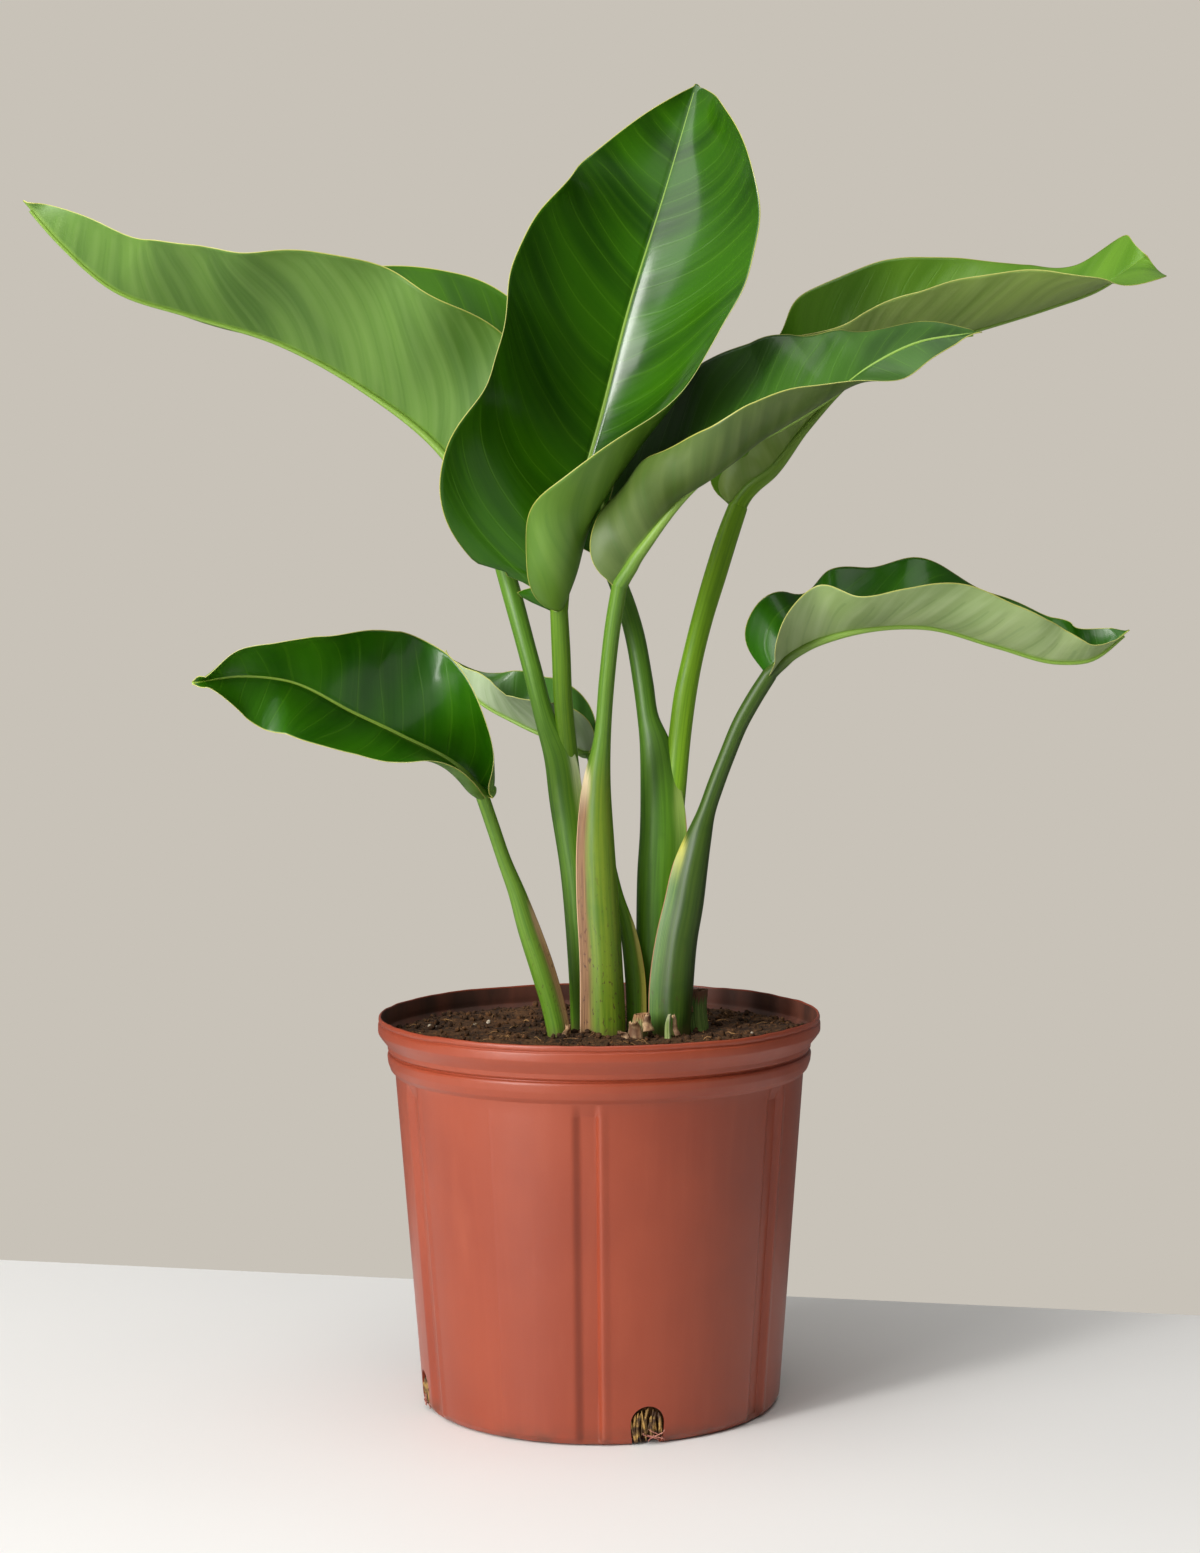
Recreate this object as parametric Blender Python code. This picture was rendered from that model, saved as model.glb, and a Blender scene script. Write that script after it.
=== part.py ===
"""A bird of paradise in its nursery pot.

Eight leaf blades stand on eight leaf stalks, whose feet are rooted in the soil that fills a turned
plastic pot. Metres, +Z up, origin at the centre of the pot's underside. The plant's own points are
given above the soil's surface, so the plant rises and sinks with the pot.
"""
import math

import bmesh
import bpy
import numpy as np

# ---------------------------------------------------------------- driving dimensions

CLEARANCE = 0.0003  # between two pieces that touch

POT_HEIGHT = 0.240
RIM_RADIUS = 0.1365  # outside of the rolled lip
BASE_RADIUS = 0.1105  # wall produced down to the table
WALL = 0.0018
POT_STEPS = 48

LIP_HEIGHT = 0.0115
LIP_ROUND = 0.0015
LIP_SET_OUT = 0.0060  # lip beyond the collar
COLLAR_HEIGHT = 0.0060
GROOVE_DEPTH = 0.0018
GROOVE_HEIGHT = 0.0020
BEAD_HEIGHT = 0.0085
WALL_SET_IN = 0.0045  # wall inside the collar
FOOT_ROUND = 0.0035
FOOT_EASE = 0.3  # share of the foot's rounding where the base turns up
SHOULDER_EASE = 0.7  # share of the set-in where the wall's shoulder meets the bead
BEAD_EASE = 0.4  # share of the bead taken by its rounded lower half
LIP_EASE = 0.6  # share of the set-out where the lip's underside turns down

FLUTE_COUNT = 6
FLUTE_WIDTH = 0.0125
FLUTE_DEPTH = 0.0011
FLUTE_BED = 0.8  # width of a flute's bed as a share of its mouth
FLUTE_ANGLE = math.radians(-93.5)  # first flute, from +X towards +Y

DRAIN_COUNT = 4
DRAIN_RADIUS = 0.0102
DRAIN_TOP = 0.0234
DRAIN_REACH = 0.012  # how far a drain slot runs in under the floor
DRAIN_ANGLE = math.radians(-76)
ARCH_STEPS = 10

SOIL_BELOW_RIM = 0.012
SOIL_LUMP = 0.0015
SOIL_RINGS = (1.0, 0.85, 0.65, 0.45, 0.25, 0.0)  # shares of the surface's radius
SOIL_LEVEL_EDGE = 0.9  # share of the radius outside which the surface is level

STALK_SIDES = 10
STALK_RINGS = 12
STALK_ROOT = 0.016  # how deep a stalk's foot stands in the soil

BLADE_THICKNESS = 0.0012
BLADE_ROWS = 17
BLADE_COLUMNS = 9
BLADE_NECK = 0.0045  # least half width where a blade leaves its stalk
BLADE_POINT = 0.0010  # least half width at the tip
FLAT_WIDTH = 0.008  # below this half width a blade's fold opens out flat
LEAST_BEND = 0.001  # radians, in place of a dead flat half

FLOOR_TOP = WALL
SOIL_TOP = POT_HEIGHT - SOIL_BELOW_RIM
COLLAR_RADIUS = RIM_RADIUS - LIP_SET_OUT
COLLAR_TOP = POT_HEIGHT - LIP_HEIGHT - LIP_SET_OUT
GROOVE_TOP = COLLAR_TOP - COLLAR_HEIGHT / 2
BEAD_TOP = GROOVE_TOP - GROOVE_HEIGHT
WALL_TOP = BEAD_TOP - BEAD_HEIGHT - WALL_SET_IN
WALL_TOP_RADIUS = COLLAR_RADIUS - WALL_SET_IN

# Each stalk runs from the soil's surface to the foot of its blade: x, y, height above the soil,
# half width across and half depth, in metres. The wide lower rings are the leaf's clasping sheath.
STALKS = {
    "stalk_tall": [
        (-0.016, 0.014, 0.150, 0.0060, 0.0055),
        (-0.018, 0.013, 0.170, 0.0060, 0.0055),
        (-0.021, 0.010, 0.205, 0.0058, 0.0055),
        (-0.022, 0.006, 0.235, 0.0058, 0.0055),
        (-0.023, 0.000, 0.260, 0.0055, 0.0052),
    ],
    "stalk_left_high": [
        (-0.009, 0.014, 0.000, 0.0087, 0.0080),
        (-0.011, 0.014, 0.058, 0.0092, 0.0080),
        (-0.014, 0.014, 0.098, 0.0095, 0.0080),
        (-0.020, 0.014, 0.144, 0.0102, 0.0085),
        (-0.024, 0.014, 0.170, 0.0093, 0.0080),
        (-0.031, 0.015, 0.189, 0.0068, 0.0065),
        (-0.041, 0.019, 0.227, 0.0059, 0.0055),
        (-0.054, 0.031, 0.275, 0.0060, 0.0055),
        (-0.062, 0.043, 0.302, 0.0055, 0.0050),
    ],
    "stalk_right_front": [
        (0.003, -0.010, 0.000, 0.0134, 0.0100),
        (0.002, -0.011, 0.047, 0.0125, 0.0100),
        (0.000, -0.012, 0.086, 0.0122, 0.0095),
        (-0.001, -0.013, 0.119, 0.0110, 0.0090),
        (0.000, -0.015, 0.157, 0.0080, 0.0070),
        (0.003, -0.018, 0.182, 0.0053, 0.0055),
        (0.006, -0.024, 0.218, 0.0048, 0.0050),
        (0.010, -0.030, 0.252, 0.0048, 0.0050),
        (0.014, -0.035, 0.275, 0.0048, 0.0050),
    ],
    "stalk_rear": [
        (0.034, 0.015, 0.000, 0.0115, 0.0085),
        (0.037, 0.015, 0.058, 0.0136, 0.0090),
        (0.039, 0.016, 0.098, 0.0146, 0.0092),
        (0.040, 0.017, 0.121, 0.0140, 0.0090),
        (0.039, 0.020, 0.148, 0.0124, 0.0085),
        (0.036, 0.025, 0.176, 0.0097, 0.0070),
        (0.032, 0.030, 0.192, 0.0068, 0.0060),
        (0.029, 0.036, 0.214, 0.0064, 0.0058),
        (0.023, 0.047, 0.248, 0.0062, 0.0055),
        (0.014, 0.058, 0.276, 0.0058, 0.0052),
        (0.006, 0.066, 0.294, 0.0052, 0.0050),
    ],
    "stalk_right_back": [
        (0.048, 0.020, 0.145, 0.0068, 0.0055),
        (0.052, 0.024, 0.186, 0.0070, 0.0060),
        (0.055, 0.027, 0.207, 0.0070, 0.0060),
        (0.059, 0.031, 0.226, 0.0066, 0.0060),
        (0.066, 0.038, 0.253, 0.0066, 0.0060),
        (0.075, 0.046, 0.282, 0.0070, 0.0062),
        (0.084, 0.055, 0.309, 0.0068, 0.0060),
        (0.090, 0.060, 0.325, 0.0062, 0.0055),
    ],
    "stalk_right_low": [
        (0.044, -0.008, 0.000, 0.0122, 0.0090),
        (0.045, -0.008, 0.026, 0.0130, 0.0090),
        (0.049, -0.007, 0.060, 0.0122, 0.0085),
        (0.053, -0.006, 0.079, 0.0116, 0.0080),
        (0.057, -0.005, 0.101, 0.0104, 0.0075),
        (0.062, -0.003, 0.120, 0.0080, 0.0065),
        (0.067, -0.001, 0.136, 0.0056, 0.0052),
        (0.073, 0.000, 0.153, 0.0052, 0.0050),
        (0.080, 0.000, 0.171, 0.0050, 0.0048),
        (0.088, 0.000, 0.190, 0.0050, 0.0048),
        (0.097, 0.000, 0.206, 0.0050, 0.0048),
        (0.106, 0.000, 0.220, 0.0048, 0.0045),
    ],
    "stalk_left_low": [
        (-0.025, -0.012, 0.000, 0.0070, 0.0060),
        (-0.028, -0.012, 0.016, 0.0070, 0.0060),
        (-0.035, -0.013, 0.041, 0.0072, 0.0062),
        (-0.043, -0.015, 0.066, 0.0066, 0.0058),
        (-0.050, -0.018, 0.089, 0.0052, 0.0050),
        (-0.057, -0.021, 0.108, 0.0043, 0.0042),
        (-0.064, -0.025, 0.130, 0.0041, 0.0040),
        (-0.070, -0.030, 0.149, 0.0041, 0.0040),
    ],
    "stalk_small": [
        (0.023, 0.000, 0.000, 0.0058, 0.0050),
        (0.022, 0.002, 0.035, 0.0060, 0.0050),
        (0.018, 0.006, 0.062, 0.0048, 0.0044),
        (0.012, 0.009, 0.084, 0.0034, 0.0034),
        (0.006, 0.011, 0.111, 0.0031, 0.0030),
        (0.001, 0.014, 0.142, 0.0030, 0.0030),
        (-0.002, 0.021, 0.161, 0.0030, 0.0030),
        (-0.004, 0.029, 0.170, 0.0030, 0.0028),
    ],
    "stub_right": [
        (0.060, 0.006, 0.000, 0.0080, 0.0070),
        (0.059, 0.006, 0.012, 0.0077, 0.0068),
        (0.060, 0.007, 0.024, 0.0074, 0.0066),
    ],
    "stub_front": [
        (0.024, -0.022, 0.000, 0.0055, 0.0050),
        (0.025, -0.022, 0.007, 0.0054, 0.0048),
        (0.026, -0.023, 0.014, 0.0048, 0.0042),
    ],
    "sprout": [
        (0.042, -0.024, 0.000, 0.0022, 0.0020),
        (0.042, -0.025, 0.008, 0.0018, 0.0016),
        (0.043, -0.026, 0.014, 0.0010, 0.0010),
    ],
}
# An inner stalk grows out of the sheath of an older one, which holds it.
SHEATHED = {"stalk_tall": "stalk_left_high", "stalk_right_back": "stalk_rear"}

# Each blade: the stalk it grows on, its midrib from there to the tip (x, y, height above the soil),
# the way its upper side faces at foot, middle and tip, and then, at the stations, the angle in
# degrees that each half is folded up at the midrib ("fold") and at its margin ("edge").
EVEN = [0.0, 0.2, 0.4, 0.6, 0.8, 1.0]
LEAVES = {
    "leaf_tall": dict(
        stalk="stalk_tall",
        midrib=[(-0.016, -0.004, 0.305), (0.004, 0.000, 0.380), (0.021, 0.010, 0.445),
                (0.043, 0.030, 0.515), (0.065, 0.065, 0.590)],
        faces=[(0, -1, 0.1), (0, -1, 0.15), (0, -1, 0.2)],
        half_width=(0.095, 0.087), belly=0.30, foot=2.0, tip=(2.1, 4.4),
        stations=[0.0, 0.07, 0.14, 0.21, 0.3, 0.38, 0.46, 0.54, 0.62, 0.7, 0.8, 0.9, 1.0],
        left_fold=[5, 5, 5, 12, 18, 18, 14, 8, 4, 2, 0, 0, 0],
        left_edge=[-60, -28, 5, 37, 66, 69, 64, 54, 49, 50, 20, 36, 60],
        right_fold=[45, 32, 31, 30, -8, -5, 8, 15, 16, 14, 14, 25, 28],
        right_edge=[230, 230, 223, 166, 147, 109, 85, 65, 58, 60, 73, 85, 63],
    ),
    "leaf_left_high": dict(
        stalk="stalk_left_high",
        midrib=[(-0.075, 0.050, 0.333), (-0.095, 0.055, 0.360), (-0.145, 0.060, 0.400),
                (-0.200, 0.060, 0.430), (-0.255, 0.055, 0.447), (-0.300, 0.045, 0.462),
                (-0.331, 0.035, 0.489), (-0.353, 0.030, 0.515)],
        faces=[(-0.3, 0, 1), (0, 0, 1), (0, 0, 1)],
        half_width=(0.094, 0.105), belly=0.30, foot=2.0, tip=(2.7, 1.9),
        stations=[0.0, 0.1, 0.2, 0.3, 0.4, 0.5, 0.6, 0.7, 0.8, 0.9, 1.0],
        left_fold=[59, 59, 60, 45, 41, 33, 24, 26, 31, 39, 68],
        left_edge=[77, 78, 77, 56, 52, 42, 31, 28, 31, 43, 85],
        right_fold=[61, 63, 62, 48, 27, 3, -11, -6, 8, 24, 40],
        right_edge=[94, 101, 105, 103, 96, 86, 74, 66, 59, 54, 50],
    ),
    "leaf_right_front": dict(
        stalk="stalk_right_front",
        midrib=[(0.019, -0.039, 0.287), (0.030, -0.045, 0.302), (0.054, -0.055, 0.330),
                (0.088, -0.065, 0.356), (0.110, -0.070, 0.367), (0.135, -0.075, 0.382),
                (0.160, -0.080, 0.401), (0.186, -0.080, 0.414), (0.225, -0.080, 0.420)],
        faces=[(-0.5, 0, 1), (0, 0, 1), (0, 0, 1)],
        half_width=(0.088, 0.055), belly=0.42, foot=2.0, tip=(2.7, 1.5),
        stations=[0.0, 0.1, 0.2, 0.3, 0.4, 0.5, 0.6, 0.7, 0.8, 0.9, 1.0],
        left_fold=[40, 40, 40, 41, 45, 41, 37, 28, 13, 12, 13],
        left_edge=[51, 51, 50, 49, 51, 50, 48, 41, 29, 30, 33],
        right_fold=[53, 55, 10, -44, -43, -20, -15, -30, -51, -49, -27],
        right_edge=[79, 140, 180, 131, 81, 55, 42, 8, -32, -45, -31],
    ),
    "leaf_right_back": dict(
        stalk="stalk_right_back",
        midrib=[(0.096, 0.062, 0.337), (0.110, 0.065, 0.348), (0.133, 0.070, 0.376),
                (0.174, 0.080, 0.414), (0.210, 0.080, 0.428), (0.242, 0.080, 0.437),
                (0.292, 0.080, 0.452), (0.320, 0.080, 0.462), (0.350, 0.075, 0.482)],
        faces=[(-0.5, 0, 1), (0, 0, 1), (0, 0, 1)],
        half_width=(0.064, 0.073), belly=0.40, foot=2.0, tip=(14, 14),
        stations=[0.0, 0.1, 0.2, 0.3, 0.4, 0.5, 0.6, 0.7, 0.8, 0.9, 1.0],
        left_fold=[48, 44, 45, 52, 56, 62, 46, 35, 25, 22, 40],
        left_edge=[65, 99, 138, 150, 94, 83, 70, 55, 39, 26, 39],
        right_fold=[64, 110, 66, 22, 10, 10, 4, -1, 2, -1, -20],
        right_edge=[196, 179, 114, 58, 38, 37, 43, 39, 15, -12, -67],
    ),
    "leaf_right_low": dict(
        stalk="stalk_right_low",
        midrib=[(0.114, -0.001, 0.230), (0.127, -0.005, 0.238), (0.148, -0.010, 0.245),
                (0.171, -0.015, 0.249), (0.200, -0.020, 0.249), (0.243, -0.020, 0.237),
                (0.281, -0.020, 0.227), (0.298, -0.020, 0.228), (0.323, -0.020, 0.246)],
        faces=[(-0.7, 0, 0.7), (0, 0, 1), (0, 0, 1)],
        half_width=(0.06, 0.044), belly=0.38, foot=3.0, tip=(3.4, 2.1),
        stations=[0.0, 0.07, 0.14, 0.21, 0.3, 0.4, 0.5, 0.6, 0.7, 0.8, 0.9, 1.0],
        left_fold=[50, 57, 24, 31, 26, 33, 26, 21, 20, 23, 35, 58],
        left_edge=[38, 62, 41, 50, 45, 53, 50, 48, 50, 51, 57, 71],
        right_fold=[-1, 5, 27, 36, 12, 12, 10, 14, 27, 39, 33, 10],
        right_edge=[0, 18, 51, 69, 49, 51, 81, 76, 71, 66, 37, -17],
    ),
    "leaf_left_low": dict(
        stalk="stalk_left_low",
        midrib=[(-0.081, -0.040, 0.164), (-0.118, -0.060, 0.187), (-0.143, -0.070, 0.200),
                (-0.181, -0.085, 0.220), (-0.206, -0.095, 0.223), (-0.2335, -0.105, 0.2195)],
        faces=[(0, -1, 0.1), (0, -1, 0.1), (0, -1, 0.1)],
        half_width=(0.042, 0.057), belly=0.36, foot=2.0, tip=(3.6, 2.9),
        stations=[0.0, 0.07, 0.14, 0.21, 0.3, 0.4, 0.5, 0.6, 0.7, 0.8, 0.9, 1.0],
        left_fold=[34, 37, 48, 58, 60, 51, 44, 36, 25, 5, 9, 39],
        left_edge=[157, 145, 127, 115, 101, 80, 68, 58, 45, 24, 43, 107],
        right_fold=[-9, -15, 1, 13, 10, 3, 10, 19, 37, 45, 39, 63],
        right_edge=[156, 163, 121, 84, 40, 9, 19, 38, 64, 77, 80, 126],
    ),
    "leaf_small": dict(
        stalk="stalk_small",
        midrib=[(-0.025, 0.050, 0.178), (-0.051, 0.067, 0.189), (-0.077, 0.075, 0.204),
                (-0.092, 0.079, 0.222), (-0.097, 0.079, 0.235)],
        faces=[(0, 0, 1), (0, 0, 1), (0, 0, 1)],
        half_width=(0.041, 0.037), belly=0.40, foot=2.0, tip=(1.4, 1.7),
        stations=[0.0, 0.1, 0.2, 0.3, 0.4, 0.5, 0.6, 0.7, 0.8, 0.9, 1.0],
        left_fold=[83, 60, 46, 41, 38, 36, 38, 45, 50, 43, 41],
        left_edge=[127, 85, 56, 41, 32, 29, 35, 47, 56, 47, 42],
        right_fold=[56, 56, 54, 54, 55, 53, 62, 58, 44, 41, 39],
        right_edge=[78, 84, 86, 80, 74, 70, 77, 69, 48, 37, 29],
    ),
    "leaf_rear": dict(
        stalk="stalk_rear",
        midrib=[(0.004, 0.080, 0.330), (0.008, 0.110, 0.380), (0.015, 0.160, 0.440),
                (0.020, 0.220, 0.480)],
        faces=[(0, -1, 0.3), (0, -0.6, 1), (0, -0.3, 1)],
        half_width=(0.060, 0.060), belly=0.40, foot=2.0, tip=(1.9, 1.9),
        stations=EVEN,
        left_fold=[30, 30, 30, 30, 30, 30],
        left_edge=[30, 30, 30, 30, 30, 30],
        right_fold=[30, 30, 30, 30, 30, 30],
        right_edge=[30, 30, 30, 30, 30, 30],
    ),
}


# ---------------------------------------------------------------- materials


def principled(name, colour, roughness, coat=0.0):
    """A plain Principled material."""
    material = bpy.data.materials.new(name)
    material.use_nodes = True
    shader = material.node_tree.nodes["Principled BSDF"]
    shader.inputs["Base Color"].default_value = (*colour, 1.0)
    shader.inputs["Roughness"].default_value = roughness
    shader.inputs["Metallic"].default_value = 0.0
    shader.inputs["Coat Weight"].default_value = coat
    return material


def leaf_green():
    return principled("leaf_green", (0.045, 0.130, 0.020), 0.35, coat=0.3)


def stalk_green():
    return principled("stalk_green", (0.130, 0.230, 0.050), 0.50)


def pot_plastic():
    return principled("pot_plastic", (0.330, 0.085, 0.045), 0.45)


def potting_soil():
    return principled("potting_soil", (0.030, 0.015, 0.008), 0.95)


# ---------------------------------------------------------------- common tools


def add_object(name, mesh, material):
    piece = bpy.data.objects.new(name, mesh)
    bpy.context.scene.collection.objects.link(piece)
    mesh.materials.append(material)
    return piece


def mesh_from(bm, name):
    """The finished bmesh as a smooth shaded mesh with its faces pointing out."""
    bmesh.ops.recalc_face_normals(bm, faces=bm.faces)
    mesh = bpy.data.meshes.new(name)
    bm.to_mesh(mesh)
    bm.free()
    mesh.shade_smooth()
    return mesh


def cutter(name, mesh):
    """A hidden object whose only use is to cut another."""
    guide = bpy.data.objects.new(name, mesh)
    bpy.context.scene.collection.objects.link(guide)
    guide.hide_render = True
    guide.display_type = "WIRE"
    return guide


def boolean(piece, tool, operation):
    modifier = piece.modifiers.new(f"{operation.lower()}_{tool.name}", "BOOLEAN")
    modifier.operation = operation
    modifier.solver = "EXACT"
    modifier.object = tool


def turned(name, profile, steps):
    """A closed solid of revolution about Z: the profile starts and ends on the axis."""
    bm = bmesh.new()
    points = [bm.verts.new((radius, 0.0, height)) for radius, height in profile]
    edges = [bm.edges.new(pair) for pair in zip(points, points[1:])]
    bmesh.ops.spin(bm, geom=points + edges, cent=(0, 0, 0), axis=(0, 0, 1),
                   angle=math.tau, steps=steps, use_merge=True)
    bmesh.ops.remove_doubles(bm, verts=bm.verts, dist=0.00001)
    bmesh.ops.dissolve_degenerate(bm, edges=bm.edges, dist=0.00001)
    return mesh_from(bm, name)


def hermite(knots, values, slopes, wanted):
    """Smooth cubic steps between the values at the knots."""
    wanted = np.clip(wanted, knots[0], knots[-1])
    span = np.clip(np.searchsorted(knots, wanted) - 1, 0, len(knots) - 2)
    length = (knots[span + 1] - knots[span])[:, None]
    q = (wanted - knots[span])[:, None] / length
    return (
        (2 * q**3 - 3 * q**2 + 1) * values[span]
        + (q**3 - 2 * q**2 + q) * length * slopes[span]
        + (3 * q**2 - 2 * q**3) * values[span + 1]
        + (q**3 - q**2) * length * slopes[span + 1]
    )


def smooth_route(points, count):
    """Rows of numbers read evenly along one smooth curve through the given rows."""
    rows = np.array(points, dtype=float)
    runs = np.linalg.norm(np.diff(rows[:, :3], axis=0), axis=1)
    along = np.concatenate([[0.0], np.cumsum(runs)])
    chords = np.diff(rows, axis=0) / runs[:, None]
    before, after = runs[:-1, None], runs[1:, None]
    middle = (chords[:-1] * after + chords[1:] * before) / (before + after)
    slopes = np.vstack([chords[:1], middle, chords[-1:]])
    return hermite(along, rows, slopes, np.linspace(0.0, along[-1], count))


def unit(rows):
    return rows / np.linalg.norm(rows, axis=1)[:, None]


# ---------------------------------------------------------------- pot


def wall_radius(height):
    """Outside radius of the plain tapered wall."""
    return BASE_RADIUS + (WALL_TOP_RADIUS - BASE_RADIUS) * height / WALL_TOP


def inner_radius(height):
    """Inside radius of the pot, whose skin is one thickness all the way up."""
    if height < WALL_TOP:
        return wall_radius(height) - WALL
    heights = [WALL_TOP, BEAD_TOP, COLLAR_TOP, POT_HEIGHT - LIP_HEIGHT]
    groove_radius = COLLAR_RADIUS - GROOVE_DEPTH
    radii = [WALL_TOP_RADIUS, groove_radius, groove_radius, RIM_RADIUS]
    return float(np.interp(height, heights, radii)) - WALL


def pot_profile():
    """From the middle of the underside, up the outside, over the lip and down the inside."""
    outside = [
        (0.0, 0.0),
        (wall_radius(0.0) - FOOT_ROUND, 0.0),
        (wall_radius(0.0) - FOOT_ROUND * FOOT_EASE, FOOT_ROUND * FOOT_EASE),
        (wall_radius(FOOT_ROUND), FOOT_ROUND),
        (WALL_TOP_RADIUS, WALL_TOP),
        (COLLAR_RADIUS - GROOVE_DEPTH, WALL_TOP + WALL_SET_IN * SHOULDER_EASE),
        (COLLAR_RADIUS, WALL_TOP + WALL_SET_IN + BEAD_HEIGHT * BEAD_EASE),
        (COLLAR_RADIUS, BEAD_TOP - GROOVE_HEIGHT / 2),
        (COLLAR_RADIUS - GROOVE_DEPTH, BEAD_TOP),
        (COLLAR_RADIUS - GROOVE_DEPTH, BEAD_TOP + GROOVE_HEIGHT / 2),
        (COLLAR_RADIUS, GROOVE_TOP),
        (COLLAR_RADIUS, COLLAR_TOP),
        (RIM_RADIUS - LIP_ROUND, COLLAR_TOP + LIP_SET_OUT * LIP_EASE),
        (RIM_RADIUS, COLLAR_TOP + LIP_SET_OUT),
        (RIM_RADIUS, POT_HEIGHT - LIP_ROUND),
        (RIM_RADIUS - LIP_ROUND / 2, POT_HEIGHT),
        (RIM_RADIUS - WALL, POT_HEIGHT),
    ]
    return outside + inside_profile()


def inside_profile():
    """The pot's inner skin, from the lip down to the middle of the floor."""
    heights = [POT_HEIGHT - LIP_HEIGHT, COLLAR_TOP, BEAD_TOP, WALL_TOP, FLOOR_TOP + FOOT_ROUND]
    skin = [(inner_radius(height), height) for height in heights]
    skin.append((inner_radius(FLOOR_TOP) - FOOT_ROUND, FLOOR_TOP))
    skin.append((0.0, FLOOR_TOP))
    return skin


def flute_bars():
    """Bars that cut shallow flutes down the wall from just under the bead to the foot."""
    bm = bmesh.new()
    top = WALL_TOP - FLUTE_DEPTH
    for index in range(FLUTE_COUNT):
        angle = FLUTE_ANGLE + math.tau * index / FLUTE_COUNT
        bar = bmesh.ops.create_cube(bm, size=1.0)["verts"]
        for vertex in bar:
            height = top if vertex.co.z > 0 else -WALL
            outer = vertex.co.x > 0
            radius = wall_radius(height) + (FLUTE_DEPTH if outer else -FLUTE_DEPTH)
            share = 2 - FLUTE_BED if outer else FLUTE_BED
            across = math.copysign(FLUTE_WIDTH / 2 * share, vertex.co.y)
            vertex.co = (
                radius * math.cos(angle) - across * math.sin(angle),
                radius * math.sin(angle) + across * math.cos(angle),
                height,
            )
    return mesh_from(bm, "flute_bars")


def drain_cutters():
    """Round-topped slots through the foot of the wall, as one mesh."""
    bm = bmesh.new()
    bend = DRAIN_TOP - DRAIN_RADIUS
    outline = [(DRAIN_RADIUS, -WALL)]
    for step in range(ARCH_STEPS + 1):
        turn = math.pi * step / ARCH_STEPS
        outline.append((DRAIN_RADIUS * math.cos(turn), bend + DRAIN_RADIUS * math.sin(turn)))
    outline.append((-DRAIN_RADIUS, -WALL))
    for index in range(DRAIN_COUNT):
        angle = DRAIN_ANGLE + math.tau * index / DRAIN_COUNT
        inward = BASE_RADIUS - DRAIN_REACH
        outward = (math.cos(angle), math.sin(angle))
        ring = [
            bm.verts.new((
                inward * outward[0] - across * outward[1],
                inward * outward[1] + across * outward[0],
                height,
            ))
            for across, height in outline
        ]
        face = bm.faces.new(ring)
        pushed = bmesh.ops.extrude_face_region(bm, geom=[face])["geom"]
        moved = [item for item in pushed if isinstance(item, bmesh.types.BMVert)]
        length = DRAIN_REACH * 2
        bmesh.ops.translate(bm, verts=moved, vec=(outward[0] * length, outward[1] * length, 0.0))
    return mesh_from(bm, "drain_slots")


def make_pot():
    pot = add_object("pot", turned("pot", pot_profile(), POT_STEPS), pot_plastic())
    boolean(pot, cutter("flute_bars", flute_bars()), "DIFFERENCE")
    boolean(pot, cutter("drain_slots", drain_cutters()), "DIFFERENCE")


# ---------------------------------------------------------------- stalks


def above_soil(points):
    rows = np.array(points, dtype=float)
    rows[:, 2] += SOIL_TOP
    return rows


def rooted(rows):
    """Adds the foot that stands in the soil below the stalk's first ring."""
    foot = rows[0].copy()
    foot[2] -= STALK_ROOT
    return np.vstack([foot, rows])


def stalk_rows(name):
    """Centre and half sizes of the stalk's rings, foot to top."""
    rows = above_soil(STALKS[name])
    if name not in SHEATHED:
        rows = rooted(rows)
    return smooth_route(rows, STALK_RINGS if len(rows) > 4 else len(rows) + 1)


def ring_frames(centres):
    """Across and depth directions of each ring, square to the stalk."""
    tangents = unit(np.gradient(centres, axis=0))
    across = unit(np.cross(np.tile([0.0, 1.0, 0.0], (len(centres), 1)), tangents))
    return across, np.cross(tangents, across)


def lofted(name, rows, grow=0.0):
    """A tube of oval rings, bridged one to the next and closed at both ends."""
    across, deep = ring_frames(rows[:, :3])
    last = len(rows) - 1
    bm = bmesh.new()
    below = None
    for index, (x, y, z, half_across, half_deep) in enumerate(rows):
        oval = bmesh.ops.create_circle(
            bm, cap_ends=index in (0, last), segments=STALK_SIDES, radius=1.0)["verts"]
        for vertex in oval:
            corner = vertex.co.copy()
            vertex.co = (np.array([x, y, z]) + across[index] * corner.x * (half_across + grow)
                         + deep[index] * corner.y * (half_deep + grow))
        ring = {edge for vertex in oval for edge in vertex.link_edges}
        if below:
            bmesh.ops.bridge_loops(bm, edges=list(below | ring))
        below = ring
    return mesh_from(bm, name)


def grown_end(rows):
    """The same rows with the first ring pushed back by the clearance."""
    longer = rows.copy()
    tangent = unit((rows[1, :3] - rows[0, :3])[None])[0]
    longer[0, :3] -= tangent * CLEARANCE
    return longer


def make_stalks():
    for name in STALKS:
        add_object(name, lofted(name, stalk_rows(name)), stalk_green())
    for inner, outer in SHEATHED.items():
        mouth = lofted(f"mouth_{inner}", grown_end(stalk_rows(inner)), grow=CLEARANCE)
        boolean(bpy.data.objects[outer], cutter(f"mouth_{inner}", mouth), "DIFFERENCE")


# ---------------------------------------------------------------- soil


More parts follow.
